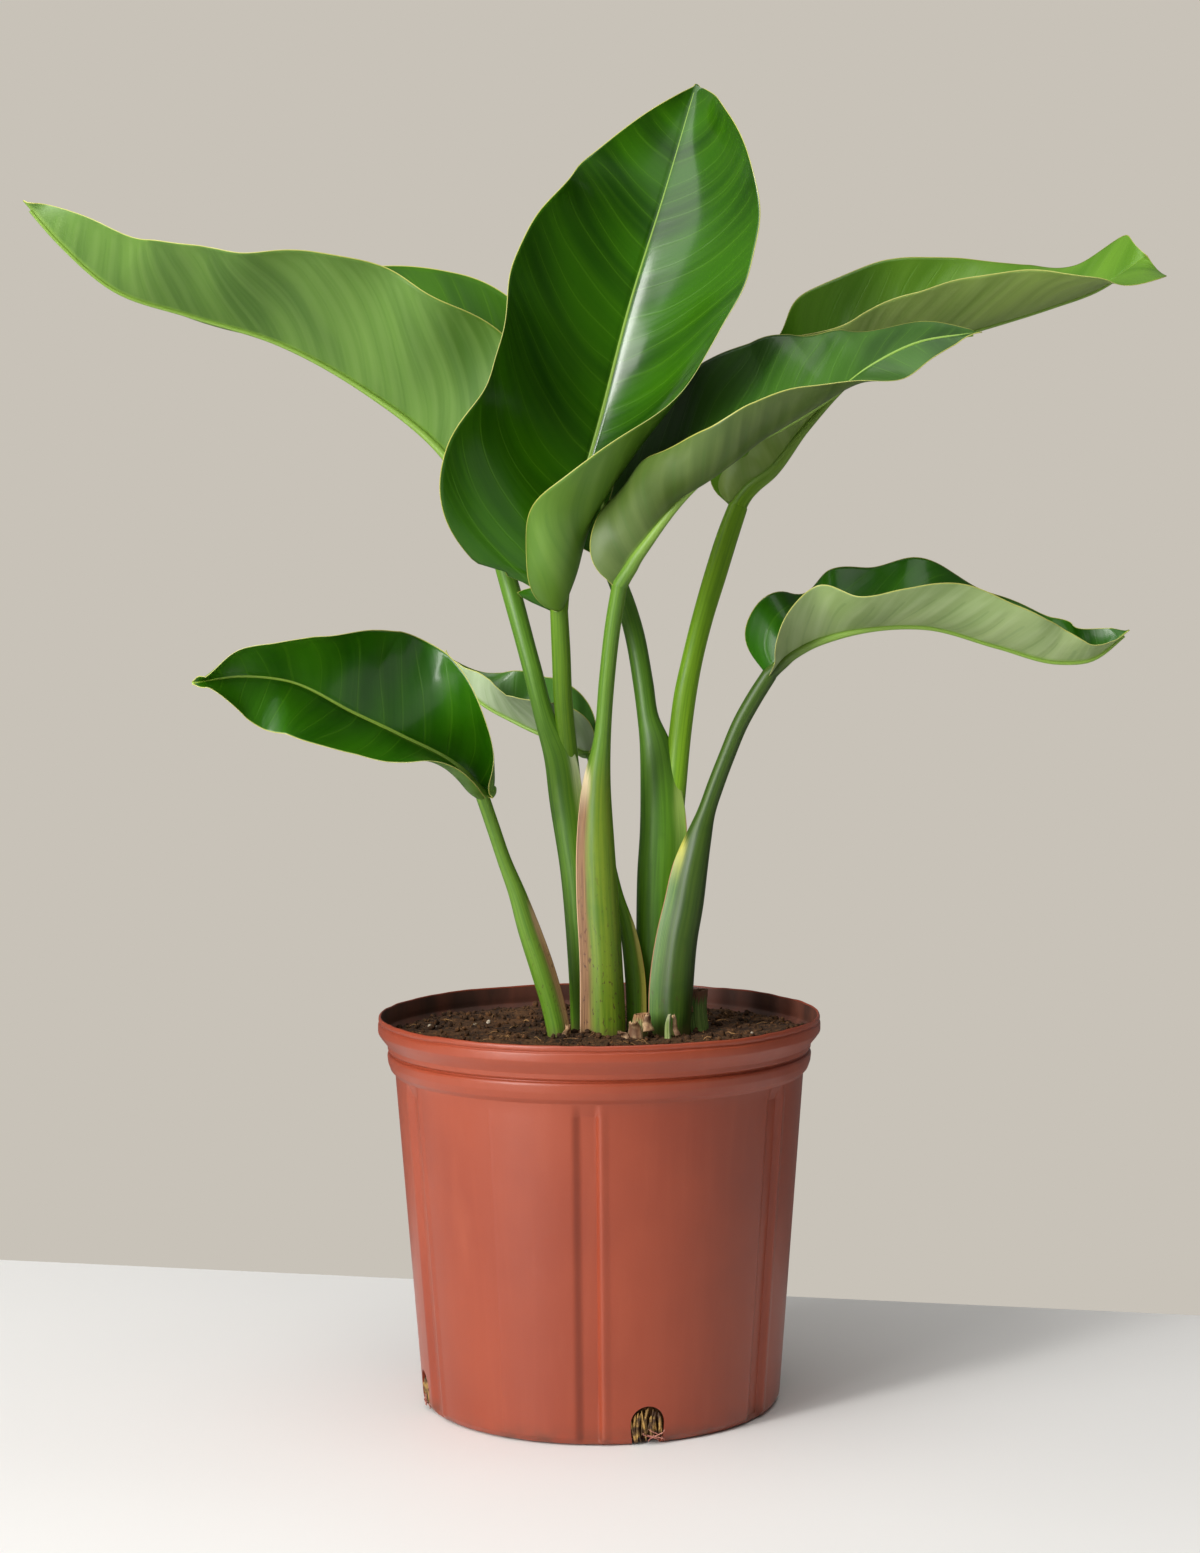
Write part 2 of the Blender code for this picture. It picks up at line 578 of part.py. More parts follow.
def soil_height(x, y):
    """Gently lumpy surface of the potting mix: two crossing waves of about 7 and 8 cm."""
    cross = math.sin(95 * x + 1.0) * math.cos(80 * y)
    slant = math.sin(60 * y - 50 * x + 2.0)
    return SOIL_TOP + SOIL_LUMP * (cross + slant) / 2


def make_soil():
    edge = inner_radius(SOIL_TOP) - CLEARANCE
    skin = [(radius - CLEARANCE, height) for radius, height in inside_profile()
            if FLOOR_TOP < height < SOIL_TOP]
    floor_edge = inner_radius(FLOOR_TOP) - FOOT_ROUND - CLEARANCE
    profile = [(0.0, FLOOR_TOP + CLEARANCE), (floor_edge, FLOOR_TOP + CLEARANCE)]
    profile += reversed(skin)
    profile += [(edge * share, SOIL_TOP) for share in SOIL_RINGS]
    mesh = turned("soil", profile, POT_STEPS)
    for vertex in mesh.vertices:
        inside = math.hypot(vertex.co.x, vertex.co.y) < edge * SOIL_LEVEL_EDGE
        if inside and vertex.co.z > SOIL_TOP - CLEARANCE:
            vertex.co.z = soil_height(vertex.co.x, vertex.co.y)
    soil = add_object("soil", mesh, potting_soil())
    for name in STALKS:
        if name not in SHEATHED:
            socket = lofted(f"socket_{name}", grown_end(stalk_rows(name)), grow=CLEARANCE)
            boolean(soil, cutter(f"socket_{name}", socket), "DIFFERENCE")


# ---------------------------------------------------------------- leaf blades


def half_outline(share, belly, foot, tip):
    """Width of one half of a blade, as a share of its widest, from foot (0) to tip (1)."""
    low = np.clip((belly - share) / belly, 0.0, 1.0)
    high = np.clip((share - belly) / (1.0 - belly), 0.0, 1.0)
    return np.where(share < belly, np.sqrt(1.0 - low**foot), 1.0 - high**tip)


def along_blade(stations, values, share):
    knots = np.array(stations)
    rows = np.array(values, dtype=float)
    rows = rows[:, None] if rows.ndim == 1 else rows
    slopes = np.gradient(rows, knots, axis=0)
    return hermite(knots, rows, slopes, share)


def blade_sheet(leaf, rows, columns):
    """Points of the blade's middle surface, row by row from foot to tip, left margin first."""
    top_of_stalk = stalk_rows(leaf["stalk"])[-2:, :3]
    heading = unit(np.diff(top_of_stalk, axis=0))[0]
    start = top_of_stalk[1] + heading * (CLEARANCE + BLADE_THICKNESS / 4)
    spine = smooth_route(np.vstack([start, above_soil(leaf["midrib"])]), rows)
    share = np.linspace(0.0, 1.0, rows)
    tangents = unit(np.gradient(spine, axis=0))
    tangents[0] = heading
    facing = along_blade([0.0, 0.5, 1.0], leaf["faces"], share)
    normals = unit(facing - (facing * tangents).sum(axis=1)[:, None] * tangents)
    rightward = np.cross(tangents, normals)
    middle = (columns - 1) // 2
    sheet = np.zeros((rows, columns, 3))
    least = np.interp(share, [0.0, 1.0], [BLADE_NECK, BLADE_POINT])
    for index, side in enumerate(("left", "right")):
        sign = -1 if side == "left" else 1
        outline = half_outline(share, leaf["belly"], leaf["foot"], leaf["tip"][index])
        width = np.maximum(leaf["half_width"][index] * outline, least)
        opened = np.clip(width / FLAT_WIDTH, 0.0, 1.0)
        fold = np.radians(along_blade(leaf["stations"], leaf[f"{side}_fold"], share)[:, 0])
        edge = np.radians(along_blade(leaf["stations"], leaf[f"{side}_edge"], share)[:, 0])
        fold, edge = fold * opened, edge * opened
        bend = edge - fold
        bend = np.where(np.abs(bend) < LEAST_BEND, LEAST_BEND, bend)
        for step in range(middle + 1):
            turn = fold + bend * step / middle
            out = width * (np.sin(turn) - np.sin(fold)) / bend
            lift = width * (np.cos(fold) - np.cos(turn)) / bend
            sheet[:, middle + sign * step] = (
                spine + sign * rightward * out[:, None] + normals * lift[:, None]
            )
    return sheet


def make_leaves():
    for name, leaf in LEAVES.items():
        sheet = blade_sheet(leaf, BLADE_ROWS, BLADE_COLUMNS)
        bm = bmesh.new()
        bmesh.ops.create_grid(bm, x_segments=BLADE_COLUMNS - 1, y_segments=BLADE_ROWS - 1, size=0.5)
        for vertex in bm.verts:
            column = round((vertex.co.x + 0.5) * (BLADE_COLUMNS - 1))
            row = round((vertex.co.y + 0.5) * (BLADE_ROWS - 1))
            vertex.co = sheet[row, column]
        mesh = bpy.data.meshes.new(name)
        bm.to_mesh(mesh)
        bm.free()
        mesh.shade_smooth()
        blade = add_object(name, mesh, leaf_green())
        solidify = blade.modifiers.new("thickness", "SOLIDIFY")
        solidify.thickness = BLADE_THICKNESS
        solidify.offset = 0.0


# ---------------------------------------------------------------- whole plant

for old in list(bpy.data.objects):
    bpy.data.objects.remove(old, do_unlink=True)

make_pot()
make_stalks()
make_soil()
make_leaves()
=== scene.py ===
"""Looks of a bird of paradise in its nursery pot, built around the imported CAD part.

Metres, +Z up, origin at the centre of the pot's underside, -Y towards the camera.
"""

import math
import random

import bmesh
import bpy
import numpy as np
from mathutils import Matrix, Vector, noise


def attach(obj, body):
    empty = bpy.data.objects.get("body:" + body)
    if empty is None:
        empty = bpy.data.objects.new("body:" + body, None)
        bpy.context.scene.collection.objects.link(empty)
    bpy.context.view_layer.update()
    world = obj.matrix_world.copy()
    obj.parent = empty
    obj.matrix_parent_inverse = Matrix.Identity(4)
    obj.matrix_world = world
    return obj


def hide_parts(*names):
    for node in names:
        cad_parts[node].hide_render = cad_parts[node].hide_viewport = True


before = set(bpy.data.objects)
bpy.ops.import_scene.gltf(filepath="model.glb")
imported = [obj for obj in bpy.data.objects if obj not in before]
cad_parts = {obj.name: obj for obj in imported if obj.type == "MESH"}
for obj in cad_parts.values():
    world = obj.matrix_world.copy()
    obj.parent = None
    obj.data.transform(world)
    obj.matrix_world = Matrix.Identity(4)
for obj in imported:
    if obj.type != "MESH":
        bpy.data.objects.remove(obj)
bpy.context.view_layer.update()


# ---------------------------------------------------------------- pot
# An injection moulded nursery pot in red-brown plastic. The tapered wall carries six shallow
# flutes, a bead, a groove and a rolled lip, and four arched drain slots are cut through its foot.
# The moulding is one skin of even thickness, with a faint parting line down two sides.

POT_HEIGHT = 0.240
RIM_RADIUS = 0.1365
BASE_RADIUS = 0.1105
WALL = 0.0018
LIP_HEIGHT = 0.0115
LIP_SET_OUT = 0.0060
LIP_CREST = 0.0036  # height of the rolled bead on top of the lip
COLLAR_RADIUS = RIM_RADIUS - LIP_SET_OUT
COLLAR_TOP = POT_HEIGHT - LIP_HEIGHT - LIP_SET_OUT
GROOVE_DEPTH = 0.0018
GROOVE_HEIGHT = 0.0020
BEAD_HEIGHT = 0.0085
BEAD_TOP = COLLAR_TOP - 0.0050
WALL_SET_IN = 0.0045
WALL_TOP = BEAD_TOP - BEAD_HEIGHT - WALL_SET_IN
WALL_TOP_RADIUS = COLLAR_RADIUS - WALL_SET_IN
FOOT_ROUND = 0.0045
TURN_STEPS = 720
CORNER_ROUND = 0.0006

FLUTE_COUNT = 6
FLUTE_WIDTH = 0.0125
FLUTE_DEPTH = 0.0028
FLUTE_FLANKS = (0.0058, 0.0024)  # how broad its left and its right flank are
FLUTE_ANGLE = math.radians(-93.5)
FLUTE_TOP = WALL_TOP - 0.0012
FLUTE_RUN_OUT = 0.0028  # height over which a flute fades out at its top
SEAM_ANGLE = math.radians(-121)
SEAM_HEIGHT = 0.00022
SEAM_WIDTH = 0.0009

DRAIN_COUNT = 4
DRAIN_RADIUS = 0.0102
DRAIN_TOP = 0.0234
DRAIN_ANGLE = math.radians(-76)
DRAIN_CUTTER = (0.012, 0.030)  # how far inside the foot's edge a cutter starts, and its length
POT_SHARP_ANGLE = math.radians(38)


def rgb(red, green, blue):
    """A colour given in everyday 0 to 255 steps, as the shader wants it."""
    steps = [part / 255 for part in (red, green, blue)]
    return tuple(s / 12.92 if s < 0.04045 else ((s + 0.055) / 1.055) ** 2.4 for s in steps) + (1.0,)


class Flow:
    """A shader socket that can be used in sums."""

    def __init__(self, finish, socket):
        self.finish = finish
        self.socket = socket

    def maths(self, operation, *values):
        return self.finish.add("ShaderNodeMath", {"operation": operation}, dict(enumerate(values)))

    def __add__(self, other):
        return self.maths("ADD", self, other)

    def __sub__(self, other):
        return self.maths("SUBTRACT", self, other)

    def __rsub__(self, other):
        return self.maths("SUBTRACT", other, self)

    def __mul__(self, other):
        return self.maths("MULTIPLY", self, other)

    def __abs__(self):
        return self.maths("ABSOLUTE", self)

    __radd__ = __add__
    __rmul__ = __mul__


class Finish:
    """One surface finish: a Principled shader and what varies over it."""

    def __init__(self, name, constants):
        self.material = bpy.data.materials.new(name)
        self.material.use_nodes = True
        self.tree = self.material.node_tree
        self.shader = self.tree.nodes["Principled BSDF"]
        for socket, value in constants.items():
            self.shader.inputs[socket].default_value = value

    def add(self, kind, settings, sockets, output=0):
        node = self.tree.nodes.new(kind)
        for setting, value in settings.items():
            setattr(node, setting, value)
        for socket, value in sockets.items():
            if isinstance(value, Flow):
                self.tree.links.new(value.socket, node.inputs[socket])
            else:
                node.inputs[socket].default_value = value
        return Flow(self, node.outputs[output])

    def feed(self, socket, value):
        self.tree.links.new(value.socket, self.shader.inputs[socket])

    def place(self):
        return self.add("ShaderNodeTexCoord", {}, {}, "Object")

    def attribute(self, name):
        return self.add("ShaderNodeAttribute", {"attribute_name": name}, {}, "Vector")

    def parts(self, vector):
        split = self.add("ShaderNodeSeparateXYZ", {}, {0: vector})
        return [Flow(self, socket) for socket in split.socket.node.outputs]

    def vector(self, x, y, z):
        return self.add("ShaderNodeCombineXYZ", {}, {0: x, 1: y, 2: z})

    def stretched(self, vector, x, y, z):
        settings = {"operation": "MULTIPLY"}
        return self.add("ShaderNodeVectorMath", settings, {0: vector, 1: (x, y, z)})

    def cloud(self, vector, scale, detail=2.0):
        sockets = {"Vector": vector, "Scale": scale, "Detail": detail}
        return self.add("ShaderNodeTexNoise", {}, sockets)

    def rise(self, value, low, high):
        """0 below low, 1 above high, and smooth between."""
        return self.add("ShaderNodeMapRange", {"interpolation_type": "SMOOTHSTEP"},
                        {0: value, 1: low, 2: high, 3: 0.0, 4: 1.0})

    def blend(self, share, first, second):
        """Mixes two colours, each a socket or red, green and blue from 0 to 255."""
        first, second = (tone if isinstance(tone, Flow) else rgb(*tone) for tone in (first, second))
        return self.add("ShaderNodeMix", {"data_type": "RGBA"}, {0: share, 6: first, 7: second}, 2)

    def bump(self, height, depth, strength=1.0):
        sockets = {"Height": height, "Distance": depth, "Strength": strength}
        self.feed("Normal", self.add("ShaderNodeBump", {}, sockets))


def show(name, bm, finishes, smooth_angle=180):
    """The finished bmesh as a smooth object, with sharp edges round its end caps."""
    mesh = bpy.data.meshes.new(name)
    bm.edges.index_update()
    cap_rims = [edge.index for edge in bm.edges
                if any(len(face.verts) > 4 for face in edge.link_faces)]
    bm.to_mesh(mesh)
    bm.free()
    mesh.shade_smooth()
    if smooth_angle < 180:
        mesh.set_sharp_from_angle(angle=math.radians(smooth_angle))
    for index in cap_rims:
        mesh.edges[index].use_edge_sharp = True
    for finish in finishes:
        mesh.materials.append(finish.material)
    piece = bpy.data.objects.new(name, mesh)
    bpy.context.scene.collection.objects.link(piece)
    return piece


def turned(bm, profile, steps, rounding=0.0):
    """Spins a profile of (radius, height) corners a sixth of the way round Z, and repeats that."""
    points = [bm.verts.new((radius, 0.0, height)) for radius, height in profile]
    wire = [bm.edges.new(pair) for pair in zip(points, points[1:])]
    if rounding:
        bmesh.ops.bevel(bm, geom=points[1:-1] + wire, offset=rounding, segments=3, profile=0.5,
                        affect="VERTICES", material=-1)
    bmesh.ops.spin(bm, geom=bm.verts[:] + bm.edges[:], cent=(0, 0, 0), axis=(0, 0, 1),
                   angle=math.tau / 6, steps=steps // 6)
    sixth = bm.verts[:] + bm.edges[:] + bm.faces[:]
    for turn in range(1, 6):
        copied = bmesh.ops.duplicate(bm, geom=sixth)["geom"]
        bmesh.ops.rotate(bm, cent=(0, 0, 0), matrix=Matrix.Rotation(math.tau * turn / 6, 3, "Z"),
                         verts=[item for item in copied if isinstance(item, bmesh.types.BMVert)])
    bmesh.ops.remove_doubles(bm, verts=bm.verts, dist=0.00001)
    bmesh.ops.dissolve_degenerate(bm, edges=bm.edges, dist=0.00001)
    bmesh.ops.recalc_face_normals(bm, faces=bm.faces)


def wall_radius(height):
    return BASE_RADIUS + (WALL_TOP_RADIUS - BASE_RADIUS) * height / WALL_TOP


def inner_radius(height):
    if height < WALL_TOP:
        return wall_radius(height) - WALL
    groove = COLLAR_RADIUS - GROOVE_DEPTH
    heights = [WALL_TOP, BEAD_TOP, COLLAR_TOP, POT_HEIGHT - LIP_HEIGHT]
    return float(np.interp(height, heights, [WALL_TOP_RADIUS, groove, groove, RIM_RADIUS])) - WALL


def pot_profile():
    outside = [
        (0.0, 0.0008),
        (BASE_RADIUS - FOOT_ROUND * 2.2, 0.0008),
        (BASE_RADIUS - FOOT_ROUND * 1.6, 0.0),
        (BASE_RADIUS - FOOT_ROUND, 0.0),
        (BASE_RADIUS - FOOT_ROUND * 0.35, FOOT_ROUND * 0.25),
        (wall_radius(FOOT_ROUND), FOOT_ROUND),
    ]
    for share in (0.06, 0.12, 0.2, 0.35, 0.5, 0.65, 0.8, 0.9, 0.96):
        outside.append((wall_radius(WALL_TOP * share), WALL_TOP * share))
    collar_groove = COLLAR_RADIUS - GROOVE_DEPTH
    crest = POT_HEIGHT - LIP_CREST
    outside += [
        (WALL_TOP_RADIUS, WALL_TOP),
        (collar_groove, WALL_TOP + WALL_SET_IN * 0.6),
        (COLLAR_RADIUS - 0.0002, WALL_TOP + WALL_SET_IN + BEAD_HEIGHT * 0.3),
        (COLLAR_RADIUS + 0.0003, BEAD_TOP - GROOVE_HEIGHT * 0.8),
        (COLLAR_RADIUS - 0.0003, BEAD_TOP - 0.0002),
        (collar_groove, BEAD_TOP),
        (collar_groove, BEAD_TOP + GROOVE_HEIGHT * 0.5),
        (COLLAR_RADIUS, BEAD_TOP + GROOVE_HEIGHT),
        (COLLAR_RADIUS + 0.0002, COLLAR_TOP),
        (RIM_RADIUS - 0.0022, COLLAR_TOP + LIP_SET_OUT * 0.75),
        (RIM_RADIUS, COLLAR_TOP + LIP_SET_OUT * 1.3),
        (RIM_RADIUS, crest - 0.0012),
        (RIM_RADIUS - 0.0012, crest - 0.0004),
        (RIM_RADIUS - 0.0012, crest),
        (RIM_RADIUS - 0.0003, crest + 0.0008),
        (RIM_RADIUS - 0.0003, POT_HEIGHT - 0.0008),
        (RIM_RADIUS - 0.0012, POT_HEIGHT),
        (RIM_RADIUS - WALL, POT_HEIGHT - 0.0002),
    ]
    inside = [(inner_radius(height), height) for height in (
        POT_HEIGHT - LIP_HEIGHT * 0.7, POT_HEIGHT - LIP_HEIGHT, COLLAR_TOP, BEAD_TOP + 0.001,
        BEAD_TOP - 0.001, WALL_TOP, WALL_TOP * 0.96, WALL_TOP * 0.5, WALL + FOOT_ROUND)]
    inside[0] = (RIM_RADIUS - WALL - 0.0003, inside[0][1])
    return outside + inside + [(inner_radius(WALL) - FOOT_ROUND, WALL), (0.0, WALL)]


def step_up(value, low, high):
    share = min(max((value - low) / (high - low), 0.0), 1.0)
    return share * share * (3 - 2 * share)


def flute_depth(point):
    """How far the wall is set in at this point by its flutes, less the parting line's ridge."""
    angle = math.atan2(point.y, point.x)
    pitch = math.tau / FLUTE_COUNT
    off = ((angle - FLUTE_ANGLE + pitch / 2) % pitch - pitch / 2) * point.xy.length
    left, right = FLUTE_FLANKS
    in_flute = step_up(off, -FLUTE_WIDTH / 2 - left / 2, -FLUTE_WIDTH / 2 + left / 2)
    in_flute *= 1 - step_up(off, FLUTE_WIDTH / 2 - right / 2, FLUTE_WIDTH / 2 + right / 2)
    lip = step_up(off, FLUTE_WIDTH / 2, FLUTE_WIDTH / 2 + right)
    lip *= 1 - step_up(off, FLUTE_WIDTH / 2 + right, FLUTE_WIDTH / 2 + right * 3)
    seam_off = abs((angle - SEAM_ANGLE + math.pi / 2) % math.pi - math.pi / 2) * point.xy.length
    seam = 1 - step_up(seam_off, 0.0, SEAM_WIDTH)
    return FLUTE_DEPTH * (in_flute - 0.25 * lip) - SEAM_HEIGHT * seam


def drain_arches():
    """Round topped cutters through the foot of the wall."""
    bm = bmesh.new()
    for index in range(DRAIN_COUNT):
        turn = Matrix.Rotation(DRAIN_ANGLE + math.tau * index / DRAIN_COUNT, 4, "Z")
        disc = bmesh.ops.create_circle(bm, cap_ends=True, segments=48, radius=DRAIN_RADIUS)["verts"]
        for vertex in disc:
            across, up = vertex.co.x, vertex.co.y
            up = up if up > 0 else -DRAIN_TOP * abs(up) / DRAIN_RADIUS
            vertex.co = turn @ Vector((
                BASE_RADIUS - DRAIN_CUTTER[0], across, DRAIN_TOP - DRAIN_RADIUS + up))
        face = disc[0].link_faces[0]
        pushed = bmesh.ops.extrude_face_region(bm, geom=[face])["geom"]
        moved = [item for item in pushed if isinstance(item, bmesh.types.BMVert)]
        bmesh.ops.translate(bm, verts=moved, vec=turn @ Vector((DRAIN_CUTTER[1], 0.0, 0.0)))
    bmesh.ops.recalc_face_normals(bm, faces=bm.faces)
    return bm


def pot_plastic():
    finish = Finish("pot_plastic", {"Specular IOR Level": 0.3, "Coat Weight": 0.4,
                                    "Coat Roughness": 0.38})
    place = finish.place()
    height = finish.parts(place)[2]
    broad = finish.cloud(place, 9.0, 3.0)
    drawn = finish.cloud(finish.stretched(place, 1.0, 1.0, 0.05), 120.0, 3.0)
    fine = finish.cloud(place, 900.0, 2.0)
    colour = finish.blend(finish.rise(broad, 0.35, 0.65), (139, 57, 33), (149, 64, 38))
    colour = finish.blend(finish.rise(drawn, 0.45, 0.8) * 0.25, colour, (160, 75, 48))
    scuffed = finish.rise(finish.cloud(finish.stretched(place, 1.0, 1.0, 0.3), 38.0, 5.0), 0.6, 0.8)
    colour = finish.blend(scuffed * 0.2, colour, (170, 91, 64))
    foot_dirt = (1 - finish.rise(height, 0.001, 0.014)) * finish.rise(
        finish.cloud(place, 60.0, 4.0), 0.4, 0.7)
    colour = finish.blend(foot_dirt * 0.6, colour, (84, 54, 40))
    finish.feed("Base Color", colour)
    finish.feed("Roughness", 0.36 + broad * 0.1 + scuffed * 0.14)
    finish.bump(fine * 0.35 + broad * 2.0 + drawn * 0.4, 0.0003, 0.5)
    return finish


# Inner wall: soil dust plus painted shade, darker colours standing in for the shadow in the pot
def soiled_and_shaded_plastic():
    finish = Finish("soiled_and_shaded_plastic", {"Roughness": 0.6})
    place = finish.place()
    film = finish.rise(finish.cloud(finish.stretched(place, 1.0, 1.0, 0.3), 45.0, 4.0), 0.3, 0.7)
    finish.feed("Base Color", finish.blend(film, (62, 36, 26), (104, 56, 40)))
    finish.bump(film, 0.0003)
    return finish


def make_pot():
    bm = bmesh.new()
    turned(bm, pot_profile(), TURN_STEPS, CORNER_ROUND)
    for vertex in bm.verts:
        spot = vertex.co
        radius = spot.xy.length
        if spot.z < WALL_TOP and radius > BASE_RADIUS - FOOT_ROUND:
            window = step_up(spot.z, FOOT_ROUND * 0.2, FOOT_ROUND)
            window *= 1 - step_up(spot.z, FLUTE_TOP - FLUTE_RUN_OUT, FLUTE_TOP)
            shrink = 1 - flute_depth(spot) * window / radius
            vertex.co = (spot.x * shrink, spot.y * shrink, spot.z)
        elif spot.z > COLLAR_TOP:
            near_lip = step_up(spot.z, COLLAR_TOP, POT_HEIGHT - LIP_CREST)
            lift = (noise.noise(spot * 28) * 0.0006 + noise.noise(spot * 90) * 0.0003) * near_lip
            swell = 1 + noise.noise(Vector((spot.x, spot.y, 0.0)) * 20) * 0.004 * near_lip
            vertex.co = (spot.x * swell, spot.y * swell, spot.z + lift)
    pot = show("nursery_pot", bm, [pot_plastic(), soiled_and_shaded_plastic()])
    arches = show("arches", drain_arches(), [])
    cut = pot.modifiers.new("drain_slots", "BOOLEAN")
    cut.object = arches
    cut.operation = "DIFFERENCE"
    cut.solver = "EXACT"
    bpy.context.view_layer.update()
    cut_mesh = bpy.data.meshes.new_from_object(
        pot.evaluated_get(bpy.context.evaluated_depsgraph_get()))
    pot.modifiers.clear()
    pot.data = cut_mesh
    cut_mesh.name = "nursery_pot"
    cut_mesh.set_sharp_from_angle(angle=POT_SHARP_ANGLE)
    for face in cut_mesh.polygons:  # the inner wall gets soil dust and painted shade
        inward = face.center.xy.dot(face.normal.xy) < -0.3 * face.center.xy.length
        face.material_index = int(inward and face.center.z < POT_HEIGHT - LIP_CREST)
    bpy.data.objects.remove(arches)
    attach(pot, "root")
    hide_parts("pot")


make_pot()


# ---------------------------------------------------------------- soil
# Moist peat potting mix that fills the pot to 12 mm below its lip: a crumbly surface with loose
# crumbs, dry fibres and a few white perlite grains. Each plant piece stands in it.

SOIL_TOP = POT_HEIGHT - 0.012
SOIL_GAP = 0.0003
SOIL_RINGS = 100
SOIL_STEPS = 300
CRUMBS = 1500
CRUMB_SIZES = (0.0007, 0.0026)
FIBRES = 80
PERLITE = [(-0.106, 0.022), (-0.101, 0.020), (-0.070, 0.040), (-0.078, 0.030), (0.064, 0.046),
           (-0.034, 0.072), (0.094, -0.012), (-0.052, -0.066), (0.030, -0.088), (0.012, 0.098)]
PERLITE_SIZE = 0.0015

dice = random.Random(11)


def soil_height(x, y):
    """The crumbly surface: slow swells, clods and grains, level where it meets the wall."""
    spot = Vector((x, y, 0.0))
    reach = math.hypot(x, y) / inner_radius(SOIL_TOP)
    swell = noise.noise(spot * 22 + Vector((3, 1, 5))) * 0.0022
    clods = noise.noise(spot * 85) * 0.0013 + abs(noise.noise(spot * 190)) * 0.0015
    grains = noise.noise(spot * 520) * 0.0006
    dip = step_up(reach, 0.86, 1.0) * 0.0018
    return SOIL_TOP - 0.0008 + swell * (1 - step_up(reach, 0.8, 1.0)) + clods + grains - dip


def soil_mix():
    finish = Finish("potting_soil", {"Roughness": 0.95, "Specular IOR Level": 0.25})
    place = finish.place()
    coarse = finish.cloud(place, 55.0, 5.0)
    grain = finish.cloud(place, 420.0, 4.0)
    thread = finish.cloud(finish.stretched(place, 1.0, 0.3, 1.0), 700.0, 2.0)
    colour = finish.blend(finish.rise(coarse, 0.35, 0.68), (46, 30, 18), (84, 57, 34))
    colour = finish.blend(finish.rise(grain, 0.5, 0.72) * 0.7, colour, (112, 74, 42))
    colour = finish.blend(finish.rise(thread, 0.62, 0.74) * 0.5, colour, (138, 98, 58))
    colour = finish.blend((1 - finish.rise(grain, 0.3, 0.45)) * 0.7, colour, (22, 14, 9))
    finish.feed("Base Color", colour)
    finish.feed("Roughness", 0.85 + coarse * 0.15)
    finish.bump(grain + coarse, 0.0012, 0.8)
    return finish


def loft(bm, rings, marks=None):
    """A tube through rings of points, closed at both ends. Each point keeps its marks."""
    sides, last = len(rings[0]), len(rings) - 1
    layers = {name: bm.verts.layers.float_vector.new(name) for name in marks or {}}
    skin = bmesh.ops.create_grid(bm, x_segments=sides, y_segments=last, size=0.5)["verts"]
    for vertex in skin:
        side = round((vertex.co.x + 0.5) * sides) % sides
        ring = round((vertex.co.y + 0.5) * last)
        vertex.co = rings[ring][side]
        for name, layer in layers.items():
            vertex[layer] = marks[name][ring][side]
    bmesh.ops.remove_doubles(bm, verts=skin, dist=1e-7)
    kept = [vertex for vertex in skin if vertex.is_valid]
    rims = {edge for vertex in kept for edge in vertex.link_edges if edge.is_boundary}
    bmesh.ops.edgeloop_fill(bm, edges=list(rims))


def strand(bm, route, radius, sides=3):
    """A thin root or fibre along a route of points."""
    rings = []
    last = len(route) - 1
    for index, spot in enumerate(route):
        heading = (route[min(index + 1, last)] - route[max(index - 1, 0)]).normalized()
        across = heading.orthogonal().normalized()
        deep = heading.cross(across)
        thin = radius * (0.35 if index in (0, last) else 1.0)
        rings.append([spot + (across * math.cos(turn) + deep * math.sin(turn)) * thin
                      for turn in (math.tau * side / sides for side in range(sides))])
    loft(bm, rings)
    bmesh.ops.recalc_face_normals(bm, faces=bm.faces)


def make_soil():
    top_edge = inner_radius(SOIL_TOP) - SOIL_GAP
    foot_edge = inner_radius(WALL) - FOOT_ROUND - FLUTE_DEPTH
    profile = [(0.0, WALL + SOIL_GAP), (foot_edge, WALL + SOIL_GAP)]
    profile += [(inner_radius(height) - SOIL_GAP - FLUTE_DEPTH, height) for height in (
        WALL + FOOT_ROUND, 0.012, 0.018, 0.026, 0.05, 0.1, WALL_TOP)]
    profile += [(inner_radius(height) - SOIL_GAP, height) for height in (
        BEAD_TOP, COLLAR_TOP, SOIL_TOP - 0.004)]
    profile += [(top_edge * (1 - ring / SOIL_RINGS), SOIL_TOP) for ring in range(SOIL_RINGS + 1)]
    bm = bmesh.new()
    turned(bm, profile, SOIL_STEPS)
    for vertex in bm.verts:
        if vertex.co.z > SOIL_TOP - SOIL_GAP:
            vertex.co.z = soil_height(vertex.co.x, vertex.co.y)
            room = (inner_radius(vertex.co.z) - SOIL_GAP) / max(vertex.co.xy.length, WALL)
            vertex.co.xy *= min(room, 1.0)
    soil = show("potting_mix", bm, [soil_mix()])
    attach(soil, "root")
    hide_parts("soil")


def grain_shape():
    bm = bmesh.new()
    bmesh.ops.create_icosphere(bm, subdivisions=1, radius=1.0)
    shape = bpy.data.meshes.new("grain")
    bm.to_mesh(shape)
    bm.free()
    return shape


def crumb(bm, shape, x, y, size, sink):
    """An uneven grain that rests on the surface."""
    turn = Matrix.Rotation(
        dice.uniform(0, math.tau), 4, Vector([dice.uniform(-1, 1) for _ in "xyz"]))
    squash = Matrix.Diagonal([size * dice.uniform(0.6, 1.2) for _ in "xyz"] + [1.0])
    place = Matrix.Translation((x, y, soil_height(x, y) + size * sink)) @ turn @ squash
    shape.transform(place)
    bm.from_mesh(shape)
    shape.transform(place.inverted())


def scattered(reach):
    angle = dice.uniform(0, math.tau)
    out = reach * math.sqrt(dice.random())
    return out * math.cos(angle), out * math.sin(angle)


